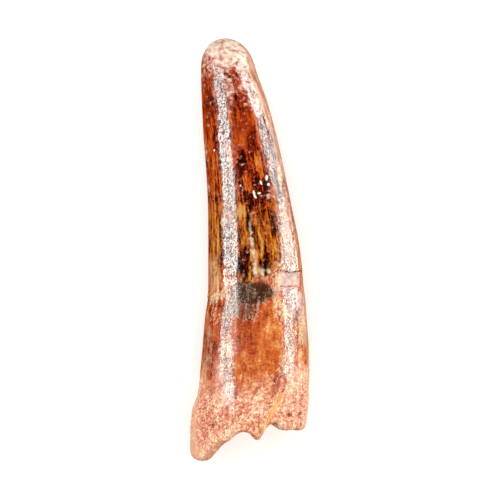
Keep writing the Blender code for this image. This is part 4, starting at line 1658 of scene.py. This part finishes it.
        # Blots of painted sheen at the edge of the right highlight, broken up by noise
        frost_and_painted_sheen = shown * blots_at(warp_x, warp_y, self.frost_and_painted_sheen) * (0.8 + 1.3 * value_noise(place, 0.4, 66))
        frost_and_painted_sheen = np.clip(frost_and_painted_sheen, 0.0, 0.9)
        marks = {
            Mark.GROWN: grown,
            # Painted shade: the stone is darker under the two highlights, where the side lights fall strongest, less so
            # where it is sandy
            Mark.DEPTH: depth - 0.12 * facets * (1.0 - 0.7 * sand),
            Mark.SAND: np.maximum(sand, 0.5 * chip),
            Mark.SOOT: np.maximum(soot, 0.25 * chip),
            # The lobe's peach is its own colour; along the right rim it is a painted reflection of the pale table
            Mark.PEACH_AND_RIM_REFLECTION: np.clip(0.8 * lobe * outside + 0.6 * painted_rim_reflection, 0.0, 1.0),
            Mark.PALE: np.clip(shown * blots_at(warp_x, warp_y, self.pale_spots_and_painted_highlights), 0.0, 1.0),
            # Chalk colour: the chip's own pale floor, blots of painted sheen, and a painted highlight along a thin line
            # beside the left highlight
            Mark.FROST_AND_SHEEN: np.maximum(np.maximum(frost, frost_and_painted_sheen), 0.3 * shown * near_line(wobble_x, y, self.painted_highlight_line, 0.35)),
            Mark.PITTED: np.maximum(0.35 + 0.85 * np.minimum(form.on_facets(x, y, 1.1), 1.0), 0.5 * sand)
            * (1.0 - 0.6 * np.clip(blots_at(x, y, self.bare), 0.0, 1.0)),
            Mark.CREVICE_SHADE: 0.95 * dark,
            Mark.VEIN: smooth_step(0.25, 0.7, vein) * shown,
            Mark.WORN: np.maximum(sand * (1.0 - 0.8 * facets), np.maximum(0.8 * chip, dark)),
            Mark.THIN: thin,
        }
        obj = surface.build("root_stone", marks)
        settle(obj, finish.material())
        return surface, sand * smooth_step(-0.4, 0.1, np.sin(angle) + way_in)


@dataclass(frozen=True)
class SandGrains:
    """Loose-looking grains set in the lower root, the rim and the break."""

    count: int = 2600
    radius: tuple[float, float] = (0.10, 0.22)
    sunk: float = 0.55
    seed: int = 7

    def build(self, surface: RingSurface, sand: Array, finish: QuartzSand) -> bpy.types.Object:
        """Sets grains on a surface, more of them where it is sandier.

        Each grain is a twenty-sided ball, stretched by up to a third along its own axes and turned at
        random. Its middle is under the surface by a share of its radius.

        Args:
            surface: what they are set in.
            sand: how sandy it is at each point.
            finish: the grains' material.

        Returns:
            The grains as one piece.
        """
        random = np.random.default_rng(self.seed)
        points = surface.points
        area = np.linalg.norm(
            np.cross(np.roll(points, -1, axis=1) - points, np.roll(points, -1, axis=0) - points), axis=-1
        )
        area[-1] = 0.0
        chance = (area * sand**2).ravel()
        chosen = random.choice(chance.size, self.count, replace=False, p=chance / chance.sum())
        middle = points.reshape(-1, 3)[chosen]
        normal = surface.normals().reshape(-1, 3)[chosen]
        radius = random.uniform(*self.radius, self.count)
        middle = middle - normal * (self.sunk * radius)[:, None]
        middle[:, 2] = np.maximum(middle[:, 2], radius * 1.3)
        gold = (1.0 + math.sqrt(5.0)) / 2.0
        corners = np.array([(0, s, t * gold) for s in (1, -1) for t in (1, -1)], float)
        corners = np.concatenate([corners, corners[:, [1, 2, 0]], corners[:, [2, 0, 1]]])
        corners /= np.linalg.norm(corners[0])
        faces = self.faces(corners)
        turns = np.linalg.qr(random.normal(size=(self.count, 3, 3)))[0]
        turns *= np.sign(np.linalg.det(turns))[:, None, None]
        stretch = random.uniform(0.75, 1.3, (self.count, 1, 3))
        balls = (corners[None] * stretch) @ turns * radius[:, None, None] + middle[:, None, :]
        all_faces = (faces[None] + 12 * np.arange(self.count)[:, None, None]).reshape(-1, 3)
        obj = mesh_object("sand_grains", balls.reshape(-1, 3), [all_faces])
        tint = np.clip(random.beta(2.2, 1.6, self.count), 0.0, 1.0)
        write_mark(obj.data, Mark.TINT, np.repeat(tint, 12))
        settle(obj, finish.material())
        return obj

    @staticmethod
    def faces(corners: Array) -> Array:
        """The twenty triangles of an icosahedron: every three corners that are next to one another."""
        side = np.sort(np.linalg.norm(corners - corners[0], axis=1))[1]
        gap = np.linalg.norm(corners[:, None] - corners[None], axis=2)
        near = np.abs(gap - side) < 0.01
        i, j, k = np.nonzero(near[:, :, None] & near[None] & near[:, None, :])
        keep = (i < j) & (j < k)
        faces = np.stack([i[keep], j[keep], k[keep]], axis=1)
        a, b, c = corners[faces[:, 0]], corners[faces[:, 1]], corners[faces[:, 2]]
        inside_out = np.sum(np.cross(b - a, c - a) * (a + b + c), axis=1) < 0
        faces[inside_out] = faces[inside_out][:, ::-1]
        return faces


@dataclass(frozen=True)
class WhiteFlecks:
    """The few white crumbs on the crown: x, y, half width, half length, and turn from +Y in degrees."""

    form: ToothForm
    flecks: Stations = (
        (3.47, 15.1, 0.28, 0.6, 8.0),
        (2.28, 14.1, 0.22, 0.52, -28.0),
        (3.87, 13.7, 0.28, 0.34, 20.0),
        (0.78, 12.0, 0.22, 0.46, -5.0),
        (1.04, 11.2, 0.22, 0.5, -35.0),
        (1.92, 11.85, 0.22, 0.4, 70.0),
        (-2.0, 13.5, 0.16, 0.2, 0.0),
        (-7.5, 21.0, 0.16, 0.24, 0.0),
    )
    thick: float = 0.5
    rings: int = 7
    columns: int = 14

    def build(self, finish: WhiteCalcite) -> bpy.types.Object:
        """Lays a flattened ball for each crumb on the enamel.

        Args:
            finish: their material.

        Returns:
            The crumbs as one piece.
        """
        table = np.array(self.flecks)
        x, y, wide, long, turn = table.T
        left, right = through(self.form.outline, 1, y), through(self.form.outline, 2, y)
        angle = np.arccos((x - (left + right) / 2.0) / ((right - left) / 2.0))
        middle = self.form.swollen(y, angle, np.full(x.shape, 0.08))
        polar = np.linspace(0.0, math.pi, self.rings + 2)[1:-1, None]
        around = np.linspace(0.0, 2.0 * math.pi, self.columns, endpoint=False)[None, :]
        ball = np.stack(
            [np.sin(polar) * np.cos(around), np.cos(polar) + 0.0 * around, np.sin(polar) * np.sin(around)], axis=-1
        )
        ball = np.concatenate([ball.reshape(-1, 3), [(0.0, 1.0, 0.0), (0.0, -1.0, 0.0)]])
        bumps = 1.0 + 0.2 * value_noise(ball[None] * 1.3 + 9.0 * middle[:, None, :], 0.8, 71)
        size = np.stack([wide, long, self.thick * wide], axis=-1)
        shaped = ball[None] * size[:, None, :] * bumps[..., None]
        cos, sin = np.cos(np.radians(turn))[:, None], np.sin(np.radians(turn))[:, None]
        turned = np.stack(
            [shaped[..., 0] * cos + shaped[..., 1] * sin, shaped[..., 1] * cos - shaped[..., 0] * sin, shaped[..., 2]],
            axis=-1,
        )
        points = (turned + middle[:, None, :]).reshape(-1, 3)
        column = np.arange(self.columns)
        beside = np.roll(column, -1)
        upper = (np.arange(self.rings - 1) * self.columns)[:, None]
        quads = np.stack(
            [upper + column, upper + beside, upper + self.columns + beside, upper + self.columns + column], -1
        ).reshape(-1, 4)
        first, end = self.rings * self.columns, (self.rings - 1) * self.columns
        caps = np.concatenate(
            [
                np.stack([np.full(self.columns, first), beside, column], -1),
                np.stack([end + column, end + beside, np.full(self.columns, first + 1)], -1),
            ]
        )
        shift = (first + 2) * np.arange(len(table))[:, None, None]
        obj = mesh_object("white_flecks", points, [(quads + shift).reshape(-1, 4), (caps + shift).reshape(-1, 3)])
        settle(obj, finish.material())
        return obj


@dataclass(frozen=True)
class Softbox:
    """A rectangular studio light that shines on the tooth.

    The angle is measured from straight up, positive towards +X, and the size is its length along the tooth
    and its width, in metres. The roll turns it about the line to the tooth, which lifts its end on the
    side of the tip.
    """

    name: str
    angle: float
    along: float
    distance: float
    size: tuple[float, float]
    power: float
    roll: float = 0.0
    in_gloss: bool = True
    shadow: bool = False
    colour: str = "#FFFBF4"

    def build(self) -> None:
        """Places the light and turns it to the tooth."""
        light = bpy.data.lights.new(self.name, "AREA")
        light.shape = "RECTANGLE"
        light.size, light.size_y = self.size
        light.energy = self.power
        light.color = srgb(self.colour)[:3]
        obj = bpy.data.objects.new(self.name, light)
        turn = math.radians(self.angle)
        obj.location = (self.distance * math.sin(turn), self.along, self.distance * math.cos(turn))
        aim = Vector((0.0, 0.0, 0.008)) - obj.location
        aim.y = 0.0
        facing = aim.to_track_quat("-Z", "Y")
        lift = math.copysign(math.radians(self.roll), self.angle)
        obj.rotation_euler = (facing @ Quaternion((0.0, 0.0, 1.0), lift)).to_euler()
        light.use_shadow = self.shadow
        obj.visible_camera = False
        obj.visible_glossy = self.in_gloss
        bpy.context.scene.collection.objects.link(obj)
        LOG.info("light %s at %.0f degrees", self.name, self.angle)


@dataclass(frozen=True)
class Studio:
    """The plain pale table, the soft lights and the camera straight above."""

    table_size: float = 6.0
    table_colour: str = "#F8F8F8"
    ambient: float = 0.07
    lens: float = 400.0
    sensor: float = 36.0
    field: float = 0.10638  # what the image shows from side to side, at the height of the tooth's edges
    edge_height: float = 0.0082
    camera_y: float = -0.00015
    lights: tuple[Softbox, ...] = (
        Softbox("strip_left", -54.0, 0.1, 0.55, (0.6, 0.11), 2.2, roll=51.0),
        Softbox("panel_right", 75.0, 0.11, 0.5, (0.6, 0.13), 2.5),
        Softbox("fill_above", 0.0, 0.0, 0.9, (1.2, 1.2), 8.8, in_gloss=False, shadow=True, colour="#FFFFFF"),
    )

    def table(self) -> None:
        """A square sheet of matt white board."""
        half = self.table_size / 2.0 / MM
        corners = np.array([(-half, -half, -0.02), (half, -half, -0.02), (half, half, -0.02), (-half, half, -0.02)])
        obj = mesh_object("table", corners, [np.array([[0, 1, 2, 3]])])
        material, _, shader = new_material("matt white board")
        shader.inputs["Base Color"].default_value = srgb(self.table_colour)
        shader.inputs["Roughness"].default_value = 0.9
        shader.inputs["Specular IOR Level"].default_value = 0.1
        obj.data.materials.append(material)
        obj.visible_glossy = False

    def world(self) -> None:
        """An even pale surround."""
        world = bpy.data.worlds.new("surround")
        world.use_nodes = True
        background = world.node_tree.nodes["Background"]
        background.inputs["Color"].default_value = srgb("#F8F4EE")
        background.inputs["Strength"].default_value = self.ambient
        world.cycles_visibility.glossy = False
        bpy.context.scene.world = world

    def camera(self) -> None:
        """Looks straight down, with +Y up in the image."""
        data = bpy.data.cameras.new("camera")
        data.lens, data.sensor_width = self.lens, self.sensor
        obj = bpy.data.objects.new("camera", data)
        obj.location = (0.0, self.camera_y, self.edge_height + self.field * self.lens / self.sensor)
        bpy.context.scene.collection.objects.link(obj)
        bpy.context.scene.camera = obj

    def build(self) -> None:
        """Makes all of it."""
        self.table()
        self.world()
        self.camera()
        for light in self.lights:
            light.build()
        bpy.context.scene.view_settings.view_transform = "Standard"


def main() -> None:
    """Builds the studio and the tooth."""
    logging.basicConfig(level=logging.INFO, format="%(message)s")
    form = ToothForm()
    Studio().build()
    Crown(form).build(FossilEnamel())
    root = Root(form)
    surface, sand = root.build(FossilRoot())
    SandGrains().build(surface, sand, QuartzSand())
    WhiteFlecks(form).build(WhiteCalcite())


if __name__ == "__main__":
    main()
